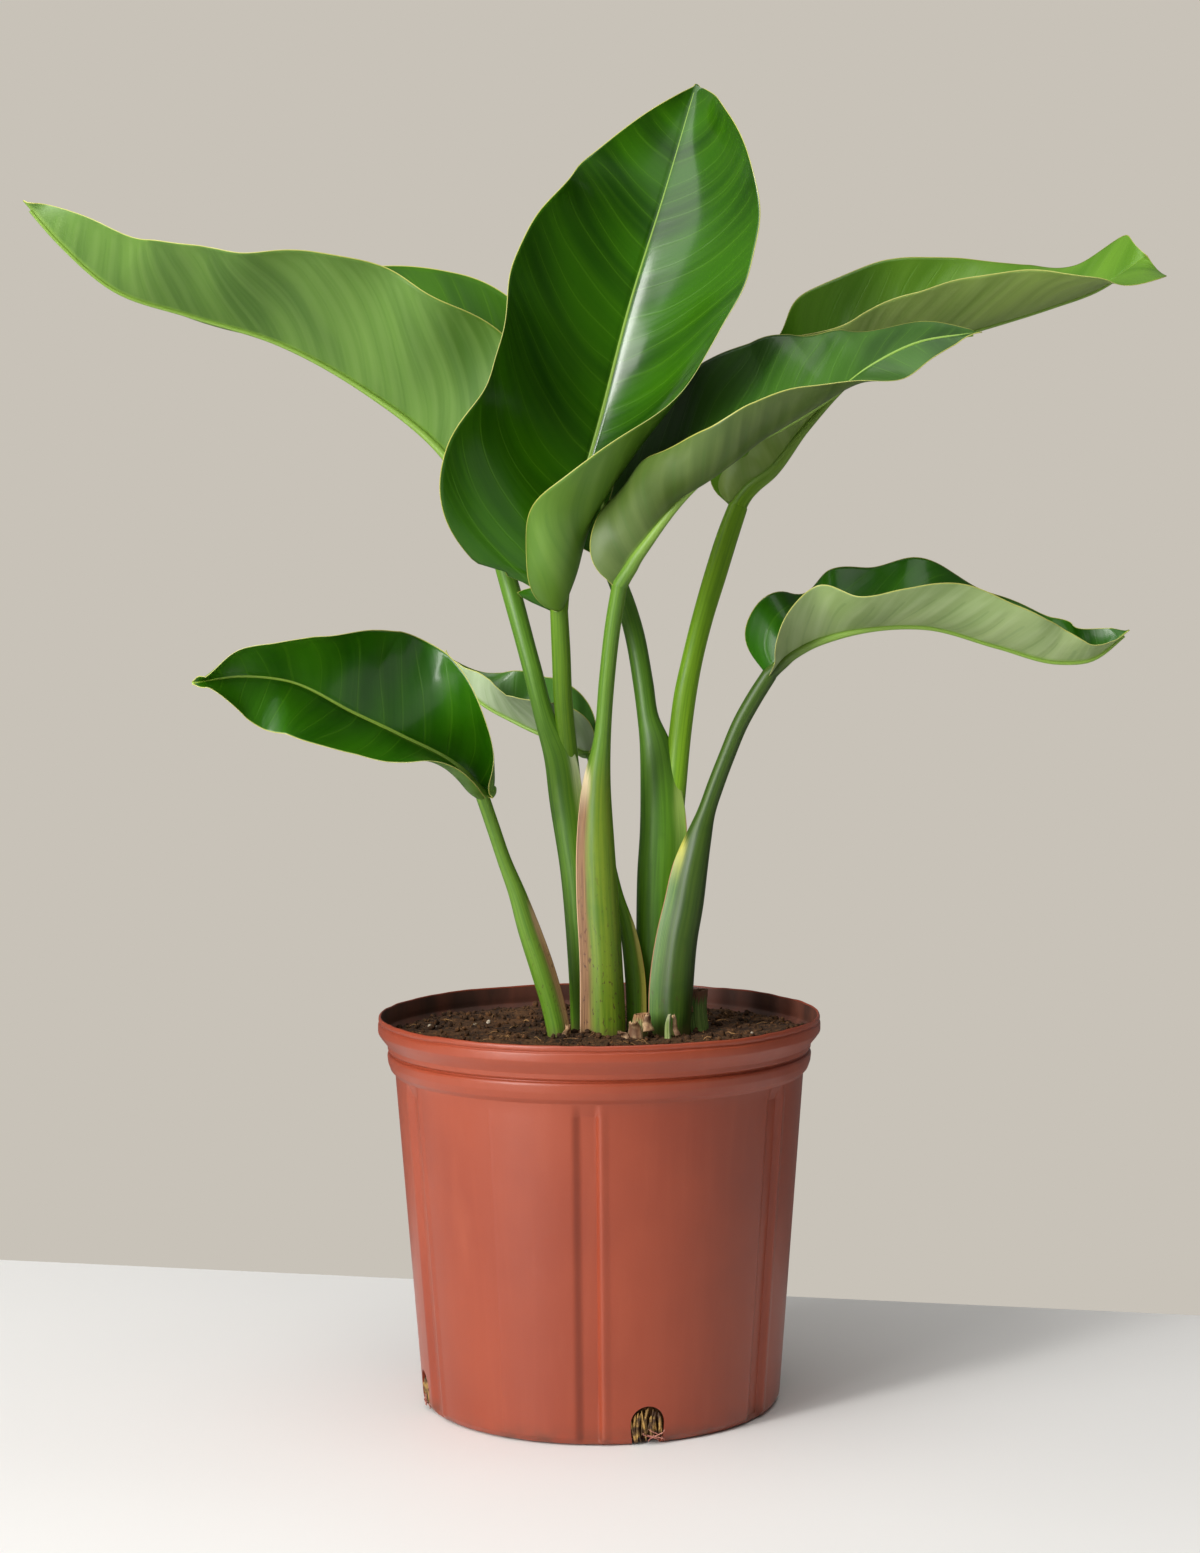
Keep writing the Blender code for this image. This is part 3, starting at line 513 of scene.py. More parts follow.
def make_crumbs():
    reach = inner_radius(SOIL_TOP) - 0.003
    shape = grain_shape()
    bm = bmesh.new()
    for _ in range(CRUMBS):
        x, y = scattered(reach)
        size = CRUMB_SIZES[0] + (CRUMB_SIZES[1] - CRUMB_SIZES[0]) * dice.random() ** 3
        crumb(bm, shape, x, y, size, 0.35)
    crumbs = show("soil_crumbs", bm, [soil_mix()])
    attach(crumbs, "root")


def make_perlite():
    finish = Finish("perlite", {"Roughness": 0.9})
    dusty = finish.rise(finish.cloud(finish.place(), 700.0, 3.0), 0.35, 0.7)
    finish.feed("Base Color", finish.blend(dusty, (150, 128, 100), (226, 216, 196)))
    finish.bump(dusty, 0.0004)
    shape = grain_shape()
    bm = bmesh.new()
    for x, y in PERLITE:
        crumb(bm, shape, x, y, PERLITE_SIZE * dice.uniform(0.7, 1.2), 0.6)
    grains = show("perlite_grains", bm, [finish])
    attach(grains, "root")


def dry_fibre():
    finish = Finish("dry_fibre", {"Roughness": 0.8})
    tone = finish.rise(finish.cloud(finish.place(), 150.0, 2.0), 0.3, 0.7)
    finish.feed("Base Color", finish.blend(tone, (104, 70, 38), (166, 124, 74)))
    return finish


def make_fibres():
    bm = bmesh.new()
    for _ in range(FIBRES):
        x, y = scattered(inner_radius(SOIL_TOP) - 0.016)
        heading = dice.uniform(0, math.tau)
        length = dice.uniform(0.004, 0.012)
        curl = dice.uniform(-1.6, 1.6)
        route = []
        for step in range(6):
            heading += curl / 5
            x += math.cos(heading) * length / 5
            y += math.sin(heading) * length / 5
            arched = 0.0005 + 0.0012 * math.sin(math.pi * step / 5)
            route.append(Vector((x, y, soil_height(x, y) + arched)))
        strand(bm, route, dice.uniform(0.00018, 0.00038))
    fibres = show("soil_fibres", bm, [dry_fibre()])
    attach(fibres, "root")


make_soil()
make_crumbs()
make_perlite()
make_fibres()


# ---------------------------------------------------------------- drain roots
# The root ball shows through the drain slots: wiry golden roots packed upright against the opening,
# and a few young pinkish ones that find their way out.

ROOTS_PER_SLOT = 16
PINK_ROOTS = 5
ROOT_RADII = (0.0004, 0.0011)


def root_skin(name, dark, pale):
    finish = Finish(name, {"Roughness": 0.6})
    grain = finish.rise(finish.cloud(finish.place(), 260.0, 3.0), 0.35, 0.68)
    finish.feed("Base Color", finish.blend(grain, dark, pale))
    finish.bump(grain, 0.0003)
    return finish


def root_route(angle, across, low, high, depth, sway):
    route = []
    steps = 7
    for step in range(steps + 1):
        share = step / steps
        height = low + (high - low) * share
        side = across + sway * math.sin(share * 3.4 + across * 900)
        radius = wall_radius(height) - depth + 0.0006 * math.sin(share * 5 + across * 700)
        route.append(Vector((radius * math.cos(angle) - side * math.sin(angle),
                             radius * math.sin(angle) + side * math.cos(angle), height)))
    return route


def make_roots():
    golden, pink = bmesh.new(), bmesh.new()
    for slot in range(DRAIN_COUNT):
        angle = DRAIN_ANGLE + math.tau * slot / DRAIN_COUNT
        for index in range(ROOTS_PER_SLOT):
            across = DRAIN_RADIUS * 0.9 * (2 * (index + 0.5) / ROOTS_PER_SLOT - 1)
            across += dice.uniform(-0.0005, 0.0005)
            arch = DRAIN_TOP - DRAIN_RADIUS - 0.0008
            arch += math.sqrt(max(DRAIN_RADIUS**2 - across**2, 0))
            low = dice.uniform(0.0012, 0.006)
            route = root_route(angle, across, low, dice.uniform(0.6, 1.0) * (arch - low) + low,
                               dice.uniform(0.0012, 0.0022), dice.uniform(-0.0022, 0.0022))
            strand(golden, route, dice.uniform(*ROOT_RADII), 6)
        for _ in range(PINK_ROOTS):
            across = dice.uniform(0.0, 0.006)
            route = root_route(
                angle, across, dice.uniform(0.001, 0.004), dice.uniform(0.006, 0.010),
                dice.uniform(-0.0016, 0.0006), dice.uniform(-0.006, 0.006))
            strand(pink, route, 0.00035, 5)
    for name, bm, skin in (
            ("drain_roots", golden, root_skin("golden_root", (66, 40, 18), (176, 138, 72))),
            ("young_roots", pink, root_skin("young_root", (150, 84, 74), (214, 152, 132)))):
        roots = show(name, bm, [skin])
        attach(roots, "root")


make_roots()


# ---------------------------------------------------------------- leaf stalks
# Eight fleshy leaf stalks. The lower part of each is an open sheath that clasps the younger stalk
# beside it: its flap thins out to a dry margin, which runs up and ends in a tip.

STALK_SIDES = 48
STALK_RINGS = 90
STALK_ROOT = 0.016
# For each stalk: the side its sheath opens on (1 right, -1 left), the height of the sheath's tip
# above the soil and the length over which it runs out, how thin the flap is and how far it wraps
# forward, how thick its brown flecks are and how high they reach, then pairs of colours for the
# petiole, the sheath and its flap, and the colours of the flap's tip and margin.
STALK_LOOKS = {
    "stalk_tall": dict(
        open=1, tip=0.0, taper=0.01, pinch=0.0, lean=0.0, flecks=0.0, fleck_top=0.1,
        petiole=((72, 114, 12), (106, 144, 24)), sheath=((99, 150, 21), (135, 179, 34)),
        flap=((116, 167, 43), (136, 176, 50)), tip_tone=(150, 190, 90), margin=(150, 180, 90)),
    "stalk_left_high": dict(
        open=1, tip=0.200, taper=0.045, pinch=0.85, lean=0.75, flecks=0.3, fleck_top=0.05,
        petiole=((66, 108, 24), (100, 144, 40)), sheath=((65, 111, 20), (99, 143, 31)),
        flap=((113, 147, 60), (159, 180, 89)), tip_tone=(190, 198, 158), margin=(196, 180, 144)),
    "stalk_right_front": dict(
        open=-1, tip=0.178, taper=0.030, pinch=0.75, lean=0.35, flecks=1.0, fleck_top=0.14,
        petiole=((70, 111, 25), (101, 139, 37)), sheath=((79, 113, 20), (119, 141, 33)),
        flap=((112, 74, 46), (150, 112, 72)), tip_tone=(226, 210, 168), margin=(216, 176, 142)),
    "stalk_rear": dict(
        open=1, tip=0.182, taper=0.055, pinch=0.85, lean=0.6, flecks=0.15, fleck_top=0.06,
        petiole=((59, 98, 22), (86, 128, 31)), sheath=((61, 105, 18), (88, 135, 27)),
        flap=((84, 124, 40), (110, 146, 54)), tip_tone=(150, 176, 86), margin=(184, 138, 100)),
    "stalk_right_back": dict(
        open=-1, tip=0.0, taper=0.01, pinch=0.0, lean=0.0, flecks=0.0, fleck_top=0.1,
        petiole=((94, 141, 20), (133, 177, 34)), sheath=((108, 160, 25), (135, 179, 34)),
        flap=((116, 167, 43), (136, 176, 50)), tip_tone=(150, 190, 90), margin=(150, 180, 90)),
    "stalk_right_low": dict(
        open=-1, tip=0.131, taper=0.030, pinch=0.85, lean=0.2, flecks=0.35, fleck_top=0.10,
        petiole=((42, 70, 14), (68, 94, 24)), sheath=((40, 68, 14), (66, 92, 24)),
        flap=((66, 104, 40), (96, 128, 54)), tip_tone=(190, 186, 84), margin=(176, 122, 92)),
    "stalk_left_low": dict(
        open=1, tip=0.098, taper=0.035, pinch=0.8, lean=0.2, flecks=0.8, fleck_top=0.09,
        petiole=((76, 118, 29), (108, 147, 41)), sheath=((74, 118, 27), (112, 149, 42)),
        flap=((132, 98, 62), (164, 138, 90)), tip_tone=(176, 150, 110), margin=(122, 76, 54)),
    "stalk_small": dict(
        open=1, tip=0.088, taper=0.040, pinch=0.8, lean=0.4, flecks=0.5, fleck_top=0.06,
        petiole=((76, 120, 18), (106, 149, 28)), sheath=((65, 107, 21), (99, 139, 33)),
        flap=((167, 165, 69), (206, 194, 89)), tip_tone=(206, 196, 110), margin=(184, 112, 66)),
}
# The route of each stalk from the soil up, in millimetres: x, y, height above the soil, half width
# and half depth.
STALKS = {
    "stalk_tall": [
        (-16, 14, 150, 6, 5.5), (-18, 13, 170, 6, 5.5), (-21, 10, 205, 5.8, 5.5),
        (-22, 6, 235, 5.8, 5.5), (-23, 0, 260, 5.5, 5.2)],
    "stalk_left_high": [
        (-9, 14, 0, 8.7, 8), (-11, 14, 58, 9.2, 8), (-14, 14, 98, 9.5, 8),
        (-20, 14, 144, 10.2, 8.5), (-24, 14, 170, 9.3, 8), (-31, 15, 189, 6.8, 6.5),
        (-41, 19, 227, 5.9, 5.5), (-54, 31, 275, 6, 5.5), (-62, 43, 302, 5.5, 5)],
    "stalk_right_front": [
        (3, -10, 0, 13.4, 10), (2, -11, 47, 12.5, 10), (0, -12, 86, 12.2, 9.5),
        (-1, -13, 119, 11, 9), (0, -15, 157, 8, 7), (3, -18, 182, 5.3, 5.5), (6, -24, 218, 4.8, 5),
        (10, -30, 252, 4.8, 5), (14, -35, 275, 4.8, 5)],
    "stalk_rear": [
        (34, 15, 0, 11.5, 8.5), (37, 15, 58, 13.6, 9), (39, 16, 98, 14.6, 9.2),
        (40, 17, 121, 14, 9), (39, 20, 148, 12.4, 8.5), (36, 25, 176, 9.7, 7),
        (32, 30, 192, 6.8, 6), (29, 36, 214, 6.4, 5.8), (23, 47, 248, 6.2, 5.5),
        (14, 58, 276, 5.8, 5.2), (6, 66, 294, 5.2, 5)],
    "stalk_right_back": [
        (48, 20, 145, 6.8, 5.5), (52, 24, 186, 7, 6), (55, 27, 207, 7, 6), (59, 31, 226, 6.6, 6),
        (66, 38, 253, 6.6, 6), (75, 46, 282, 7, 6.2), (84, 55, 309, 6.8, 6),
        (90, 60, 325, 6.2, 5.5)],
    "stalk_right_low": [
        (44, -8, 0, 12.2, 9), (45, -8, 26, 13, 9), (49, -7, 60, 12.2, 8.5), (53, -6, 79, 11.6, 8),
        (57, -5, 101, 10.4, 7.5), (62, -3, 120, 8, 6.5), (67, -1, 136, 5.6, 5.2),
        (73, 0, 153, 5.2, 5), (80, 0, 171, 5, 4.8), (88, 0, 190, 5, 4.8), (97, 0, 206, 5, 4.8),
        (106, 0, 220, 4.8, 4.5)],
    "stalk_left_low": [
        (-25, -12, 0, 7, 6), (-28, -12, 16, 7, 6), (-35, -13, 41, 7.2, 6.2),
        (-43, -15, 66, 6.6, 5.8), (-50, -18, 89, 5.2, 5), (-57, -21, 108, 4.3, 4.2),
        (-64, -25, 130, 4.1, 4), (-70, -30, 149, 4.1, 4)],
    "stalk_small": [
        (23, 0, 0, 5.8, 5), (22, 2, 35, 6, 5), (18, 6, 62, 4.8, 4.4), (12, 9, 84, 3.4, 3.4),
        (6, 11, 111, 3.1, 3), (1, 14, 142, 3, 3), (-2, 21, 161, 3, 3), (-4, 29, 170, 3, 2.8)],
    "stub_right": [
        (60, 6, 0, 8, 7), (59, 6, 12, 7.7, 6.8), (60, 7, 24, 7.4, 6.6)],
    "stub_front": [
        (24, -22, 0, 5.5, 5), (25, -22, 7, 5.4, 4.8), (26, -23, 14, 4.8, 4.2)],
    "sprout": [
        (42, -24, 0, 2.2, 2), (42, -25, 8, 1.8, 1.6), (43, -26, 14, 1, 1)],
}
# An inner stalk grows out of the sheath of an older one, which holds it.
SHEATHED = {"stalk_tall": "stalk_left_high", "stalk_right_back": "stalk_rear"}
INNER_FEET = {  # how each inner stalk runs on down inside that sheath
    "stalk_tall": [(-9, 22, -4, 4.5, 4), (-12, 20, 60, 5, 4.5), (-15, 17, 110, 5.6, 5)],
    "stalk_right_back": [(36, 24, -4, 5, 4), (41, 23, 60, 5.5, 4.5), (45.5, 21, 110, 6, 5)],
}


def hermite(knots, values, slopes, wanted):
    """Smooth cubic steps between the values at the knots."""
    wanted = np.clip(wanted, knots[0], knots[-1])
    span = np.clip(np.searchsorted(knots, wanted) - 1, 0, len(knots) - 2)
    length = (knots[span + 1] - knots[span])[:, None]
    q = (wanted - knots[span])[:, None] / length
    return (
        (2 * q**3 - 3 * q**2 + 1) * values[span]
        + (q**3 - 2 * q**2 + q) * length * slopes[span]
        + (3 * q**2 - 2 * q**3) * values[span + 1]
        + (q**3 - q**2) * length * slopes[span + 1]
    )


def smooth_route(points, count):
    """Rows of numbers read evenly along one smooth curve through the given rows."""
    rows = np.array(points, dtype=float)
    runs = np.linalg.norm(np.diff(rows[:, :3], axis=0), axis=1)
    along = np.concatenate([[0.0], np.cumsum(runs)])
    chords = np.diff(rows, axis=0) / runs[:, None]
    before, after = runs[:-1, None], runs[1:, None]
    middle = (chords[:-1] * after + chords[1:] * before) / (before + after)
    slopes = np.vstack([chords[:1], middle, chords[-1:]])
    return hermite(along, rows, slopes, np.linspace(0.0, along[-1], count))


def unit(rows):
    return rows / np.linalg.norm(rows, axis=1)[:, None]


def above_soil(points):
    """Rows in millimetres above the soil as rows in metres above the table."""
    rows = np.array(points, dtype=float) / 1000
    rows[:, 2] += SOIL_TOP
    return rows


def stalk_rows(name, count):
    """Centre and half sizes of the stalk's rings, from below the soil to its top."""
    if name in SHEATHED:
        rows = above_soil(INNER_FEET[name] + STALKS[name])
    else:
        rows = above_soil(STALKS[name])
        foot = rows[0].copy()
        foot[2] -= STALK_ROOT
        rows = np.vstack([foot, rows])
    return smooth_route(rows, count)


def stalk_skin(name, look):
    """Waxy green skin: fine lengthwise streaks, a paler flap, a dry margin and brown flecks."""
    finish = Finish(name, {"Specular IOR Level": 0.35, "Coat Weight": 0.08, "Coat Roughness": 0.3})
    ring = finish.attribute("ring")
    sheath, flap, height = finish.parts(finish.attribute("skin"))
    streaks = finish.cloud(finish.stretched(ring, 6.0, 6.0, 16.0), 1.0, 4.0)
    fine = finish.cloud(finish.stretched(ring, 26.0, 26.0, 30.0), 1.0, 2.0)
    mottle = finish.cloud(finish.place(), 60.0, 4.0)
    streaked = finish.rise(streaks, 0.2, 0.8)
    petiole = finish.blend(streaked, *look["petiole"])
    base = finish.blend(streaked, *look["sheath"])
    colour = finish.blend(sheath, petiole, base)
    colour = finish.blend(finish.rise(mottle, 0.52, 0.72) * 0.35, colour, look["petiole"][0])
    on_flap = finish.rise(flap + streaks * 0.3, 0.35, 0.75)
    flap_tone = finish.blend(finish.rise(fine, 0.35, 0.65), *look["flap"])
    tip, taper = look["tip"], look["taper"]
    near_tip = finish.rise(height, tip - taper * 1.5, tip - taper * 0.4)
    flap_tone = finish.blend(near_tip, flap_tone, look["tip_tone"])
    colour = finish.blend(on_flap, colour, flap_tone)
    flecks = finish.cloud(finish.stretched(finish.place(), 1.0, 1.0, 0.45), 620.0, 3.0)
    low_down = 1 - finish.rise(height, 0.02, look["fleck_top"])
    fleck = finish.rise(flecks, 0.60, 0.70) * sheath * look["flecks"] * low_down
    colour = finish.blend(fleck * 0.8, colour, (74, 44, 34))
    edge = finish.rise(flap, 0.93, 0.985)
    colour = finish.blend(edge, colour, look["margin"])
    soiled = (1 - finish.rise(height + streaks * 0.006, 0.001, 0.011)) * 0.55
    colour = finish.blend(soiled, colour, (96, 80, 46))
    finish.feed("Base Color", colour)
    finish.feed("Roughness", 0.36 + streaks * 0.14 + edge * 0.25)
    finish.bump(streaks * 0.25 + fine * 0.12 + mottle * 0.3, 0.0004, 0.4)
    return finish


def stalk_ring(look, row, across, deep, sheath, height):
    """One ring: an oval whose flap side thins to the sheath's margin, with its two attributes."""
    centre, half_across, half_deep = row[:3], row[3], row[4]
    spots, rings, skins = [], [], []
    for side in range(STALK_SIDES):
        turn = math.tau * side / STALK_SIDES
        toward = look["open"] * math.cos(turn)
        flap = max(toward, 0.0) ** 1.6 * sheath
        channel = math.exp(-((math.sin(turn) - 1) ** 2) / 0.12) * (1 - sheath) * 0.22
        x = half_across * math.cos(turn) * (1 + 0.10 * flap)
        thinned = math.sin(turn) * (1 - look["pinch"] * flap)
        y = half_deep * (thinned - look["lean"] * flap - channel)
        spots.append(Vector(centre + across * x + deep * y))
        rings.append((math.cos(turn), math.sin(turn), height))
        skins.append((sheath, flap, height))
    return spots, rings, skins


def make_stalk(name, look):
    rows = stalk_rows(name, STALK_RINGS)
    tangents = unit(np.gradient(rows[:, :3], axis=0))
    across = unit(np.cross(np.tile([0.0, 1.0, 0.0], (len(rows), 1)), tangents))
    deep = np.cross(tangents, across)
    rings, marks = [], {"ring": [], "skin": []}
    for index, row in enumerate(rows):
        height = row[2] - SOIL_TOP
        sheath = 1 - step_up(height, look["tip"] - look["taper"], look["tip"])
        spots, ring, skin = stalk_ring(look, row, across[index], deep[index], sheath, height)
        rings.append(spots)
        marks["ring"].append(ring)
        marks["skin"].append(skin)
    bm = bmesh.new()
    loft(bm, rings, marks)
    bmesh.ops.recalc_face_normals(bm, faces=bm.faces)
    stalk = show(name.replace("stalk", "stem"), bm, [stalk_skin(name + "_skin", look)])
    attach(stalk, "root")
    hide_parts(name)


for stalk_name, stalk_look in STALK_LOOKS.items():
    make_stalk(stalk_name, stalk_look)


# ---------------------------------------------------------------- cut stumps and sprout
# Two old leaves were cut off just above the soil: a thick green stump on the right with a browned
# rim, and a low one in front wrapped in dry papery husk. A pale sprout comes up between them.

STUMPS = {
    "stub_right": dict(piece="stump_right", slot="stalk_green", rim=(120, 84, 60),
                       skin=((84, 122, 50), (122, 156, 76))),
    "stub_front": dict(piece="stump_front", slot="dry_sheath", rim=(168, 124, 84),
                       skin=((140, 150, 84), (184, 172, 116))),
    "sprout": dict(piece="pale_sprout", slot="stalk_green", rim=(214, 220, 168),
                   skin=((142, 178, 84), (196, 210, 140))),
}
STUMP_ROWS = 24
STUMP_SIDES = 32
HUSK_SCRAPS = [  # centre x, y, height above soil, width, height, turn and lean in degrees
    (0.022, -0.028, 0.006, 0.011, 0.014, -20, 18), (0.029, -0.025, 0.009, 0.008, 0.011, 25, -12),
    (0.016, -0.026, 0.003, 0.010, 0.007, -60, 35), (0.046, -0.022, 0.007, 0.005, 0.014, 40, -20),
    (0.054, 0.000, 0.018, 0.009, 0.012, -15, 14), (-0.020, -0.020, 0.004, 0.006, 0.009, 30, 20),
]


def stump_skin(name, look):
    finish = Finish(name, {})
    ring = finish.attribute("ring")
    top = finish.parts(ring)[2]
    streaks = finish.rise(finish.cloud(finish.stretched(ring, 6.0, 6.0, 1.5), 1.0, 4.0), 0.35, 0.65)
    colour = finish.blend(streaks, *look["skin"])
    browned = finish.rise(top + streaks * 0.12, 0.86, 1.0)
    colour = finish.blend(browned, colour, look["rim"])
    finish.feed("Base Color", colour)
    finish.feed("Roughness", 0.42 + browned * 0.4)
    finish.bump(streaks, 0.0005)
    return finish


def make_stump(name, look):
    rows = stalk_rows(name, STUMP_ROWS)
    rings, marks = [], []
    for index, (x, y, z, half_across, half_deep) in enumerate(rows):
        share = index / (len(rows) - 1)
        ring, marked = [], []
        for side in range(STUMP_SIDES):
            turn = math.tau * side / STUMP_SIDES
            ragged = 1 + 0.05 * math.sin(turn * 5 + 1) * share + 0.03 * math.sin(turn * 2)
            slope = 0.10 * half_across * math.cos(turn) * (share > 0.99)
            ring.append(Vector((x + half_across * math.cos(turn) * ragged,
                                y + half_deep * math.sin(turn) * ragged, z + slope)))
            marked.append((math.cos(turn), math.sin(turn), share))
        rings.append(ring)
        marks.append(marked)
    if name != "sprout":  # the cut face is hollow, with the sheath's wall left standing
        top = rings[-1]
        middle = sum(top, Vector()) / STUMP_SIDES
        for inset, drop in ((0.84, 0.0), (0.74, 0.0035), (0.3, 0.004)):
            rings.append([middle.lerp(spot, inset) - Vector((0, 0, drop)) for spot in top])
            marks.append([(x, y, 1.05) for x, y, _ in marks[0]])
    bm = bmesh.new()
    loft(bm, rings, {"ring": marks})
    bmesh.ops.recalc_face_normals(bm, faces=bm.faces)
    stump = show(look["piece"], bm, [stump_skin(look["piece"] + "_skin", look)], 50)
    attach(stump, "root")
    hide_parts(name)


def husk_paper():
    finish = Finish("husk_paper", {"Roughness": 0.75})
    place = finish.place()
    grain = finish.cloud(finish.stretched(place, 1.0, 1.0, 0.2), 320.0, 3.0)
    patch = finish.rise(finish.cloud(place, 140.0, 3.0), 0.42, 0.62)
    colour = finish.blend(finish.rise(grain, 0.3, 0.7), (150, 108, 72), (216, 182, 138))
    finish.feed("Base Color", finish.blend(patch * 0.8, colour, (92, 58, 40)))
    finish.bump(grain, 0.0004)
    return finish


def make_husks():
    """Dry scraps of old sheath: thin curled sheets with torn tops."""
    bm = bmesh.new()
    for x, y, height, width, tall, turn, lean in HUSK_SCRAPS:
        scrap = bmesh.ops.create_grid(bm, x_segments=8, y_segments=8, size=0.5)["verts"]
        place = (Matrix.Translation((x, y, SOIL_TOP + height))
                 @ Matrix.Rotation(math.radians(turn), 4, "Z")
                 @ Matrix.Rotation(math.radians(90 + lean), 4, "X"))
        for vertex in scrap:
            across, up = vertex.co.x, vertex.co.y
            torn = 1 - 0.28 * abs(math.sin(across * 9 + x * 400)) * (up > 0.3)
            narrow = 1 - 0.5 * (up + 0.5)
            curl = 0.35 * width * math.cos(across * 2.4) + 0.0008 * math.sin(up * 7 + y * 300)
            vertex.co = place @ Vector((across * width * narrow, up * tall * torn, curl))
    husks = show("husk_scraps", bm, [husk_paper()])
    thick = husks.modifiers.new("paper", "SOLIDIFY")
    thick.thickness = 0.0004
    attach(husks, "root")


for stump_name, stump_look in STUMPS.items():
    make_stump(stump_name, stump_look)
make_husks()


# ---------------------------------------------------------------- leaf blades
# Eight paddle shaped blades, folded along a midrib that stands out as a keel underneath. The upper
# side is deep green and glossy, the underside paler and waxy, and a thin yellow margin runs round.

# Colours of each blade: three greens of its upper side, three of its underside, its side veins,
# the midrib seen from above and from below, and the margin, then its gloss, with the coat of the
# left half and of the right half.
GREENS = dict(
    upper=((22, 60, 0), (42, 90, 0), (72, 122, 4)),
    under=((68, 106, 26), (92, 130, 44), (124, 156, 78)),
    vein=(96, 150, 30), midrib=(164, 196, 70), keel=(124, 158, 62), margin=(176, 176, 84),
    shine=0.2, coat=(0.35, 0.5), rough=0.26)
LEAF_LOOKS = {
    "leaf_tall": dict(under=((70, 108, 22), (92, 130, 36), (120, 154, 60)),
                      coat=(0.10, 1.0), shine=0.15),
    "leaf_left_high": dict(upper=((38, 80, 0), (56, 102, 0), (76, 122, 4)),
                           coat=(0.0, 0.0), rough=0.5, shine=0.1),
    "leaf_right_front": dict(upper=((36, 72, 14), (56, 98, 24), (78, 120, 40)),
                             under=((64, 86, 28), (84, 106, 42), (112, 130, 70)),
                             coat=(0.1, 0.1), rough=0.34),
    "leaf_right_back": dict(upper=((78, 122, 24), (98, 142, 36), (120, 160, 58)),
                            under=((110, 138, 54), (136, 162, 76), (166, 186, 112)),
                            coat=(0.1, 0.1)),
    "leaf_right_low": dict(upper=((20, 66, 0), (42, 96, 6), (66, 120, 20)),
                           under=((120, 144, 84), (150, 170, 112), (182, 198, 152)),
                           coat=(0.2, 0.2)),
    "leaf_left_low": dict(upper=((24, 72, 0), (44, 98, 4), (66, 118, 14)), coat=(0.25, 0.3)),
    "leaf_small": dict(upper=((56, 100, 32), (78, 126, 46), (98, 144, 66)),
                       under=((128, 150, 106), (158, 176, 138), (190, 204, 172))),
    "leaf_rear": {},
}


def evenly(count):
    return [step / (count - 1) for step in range(count)]


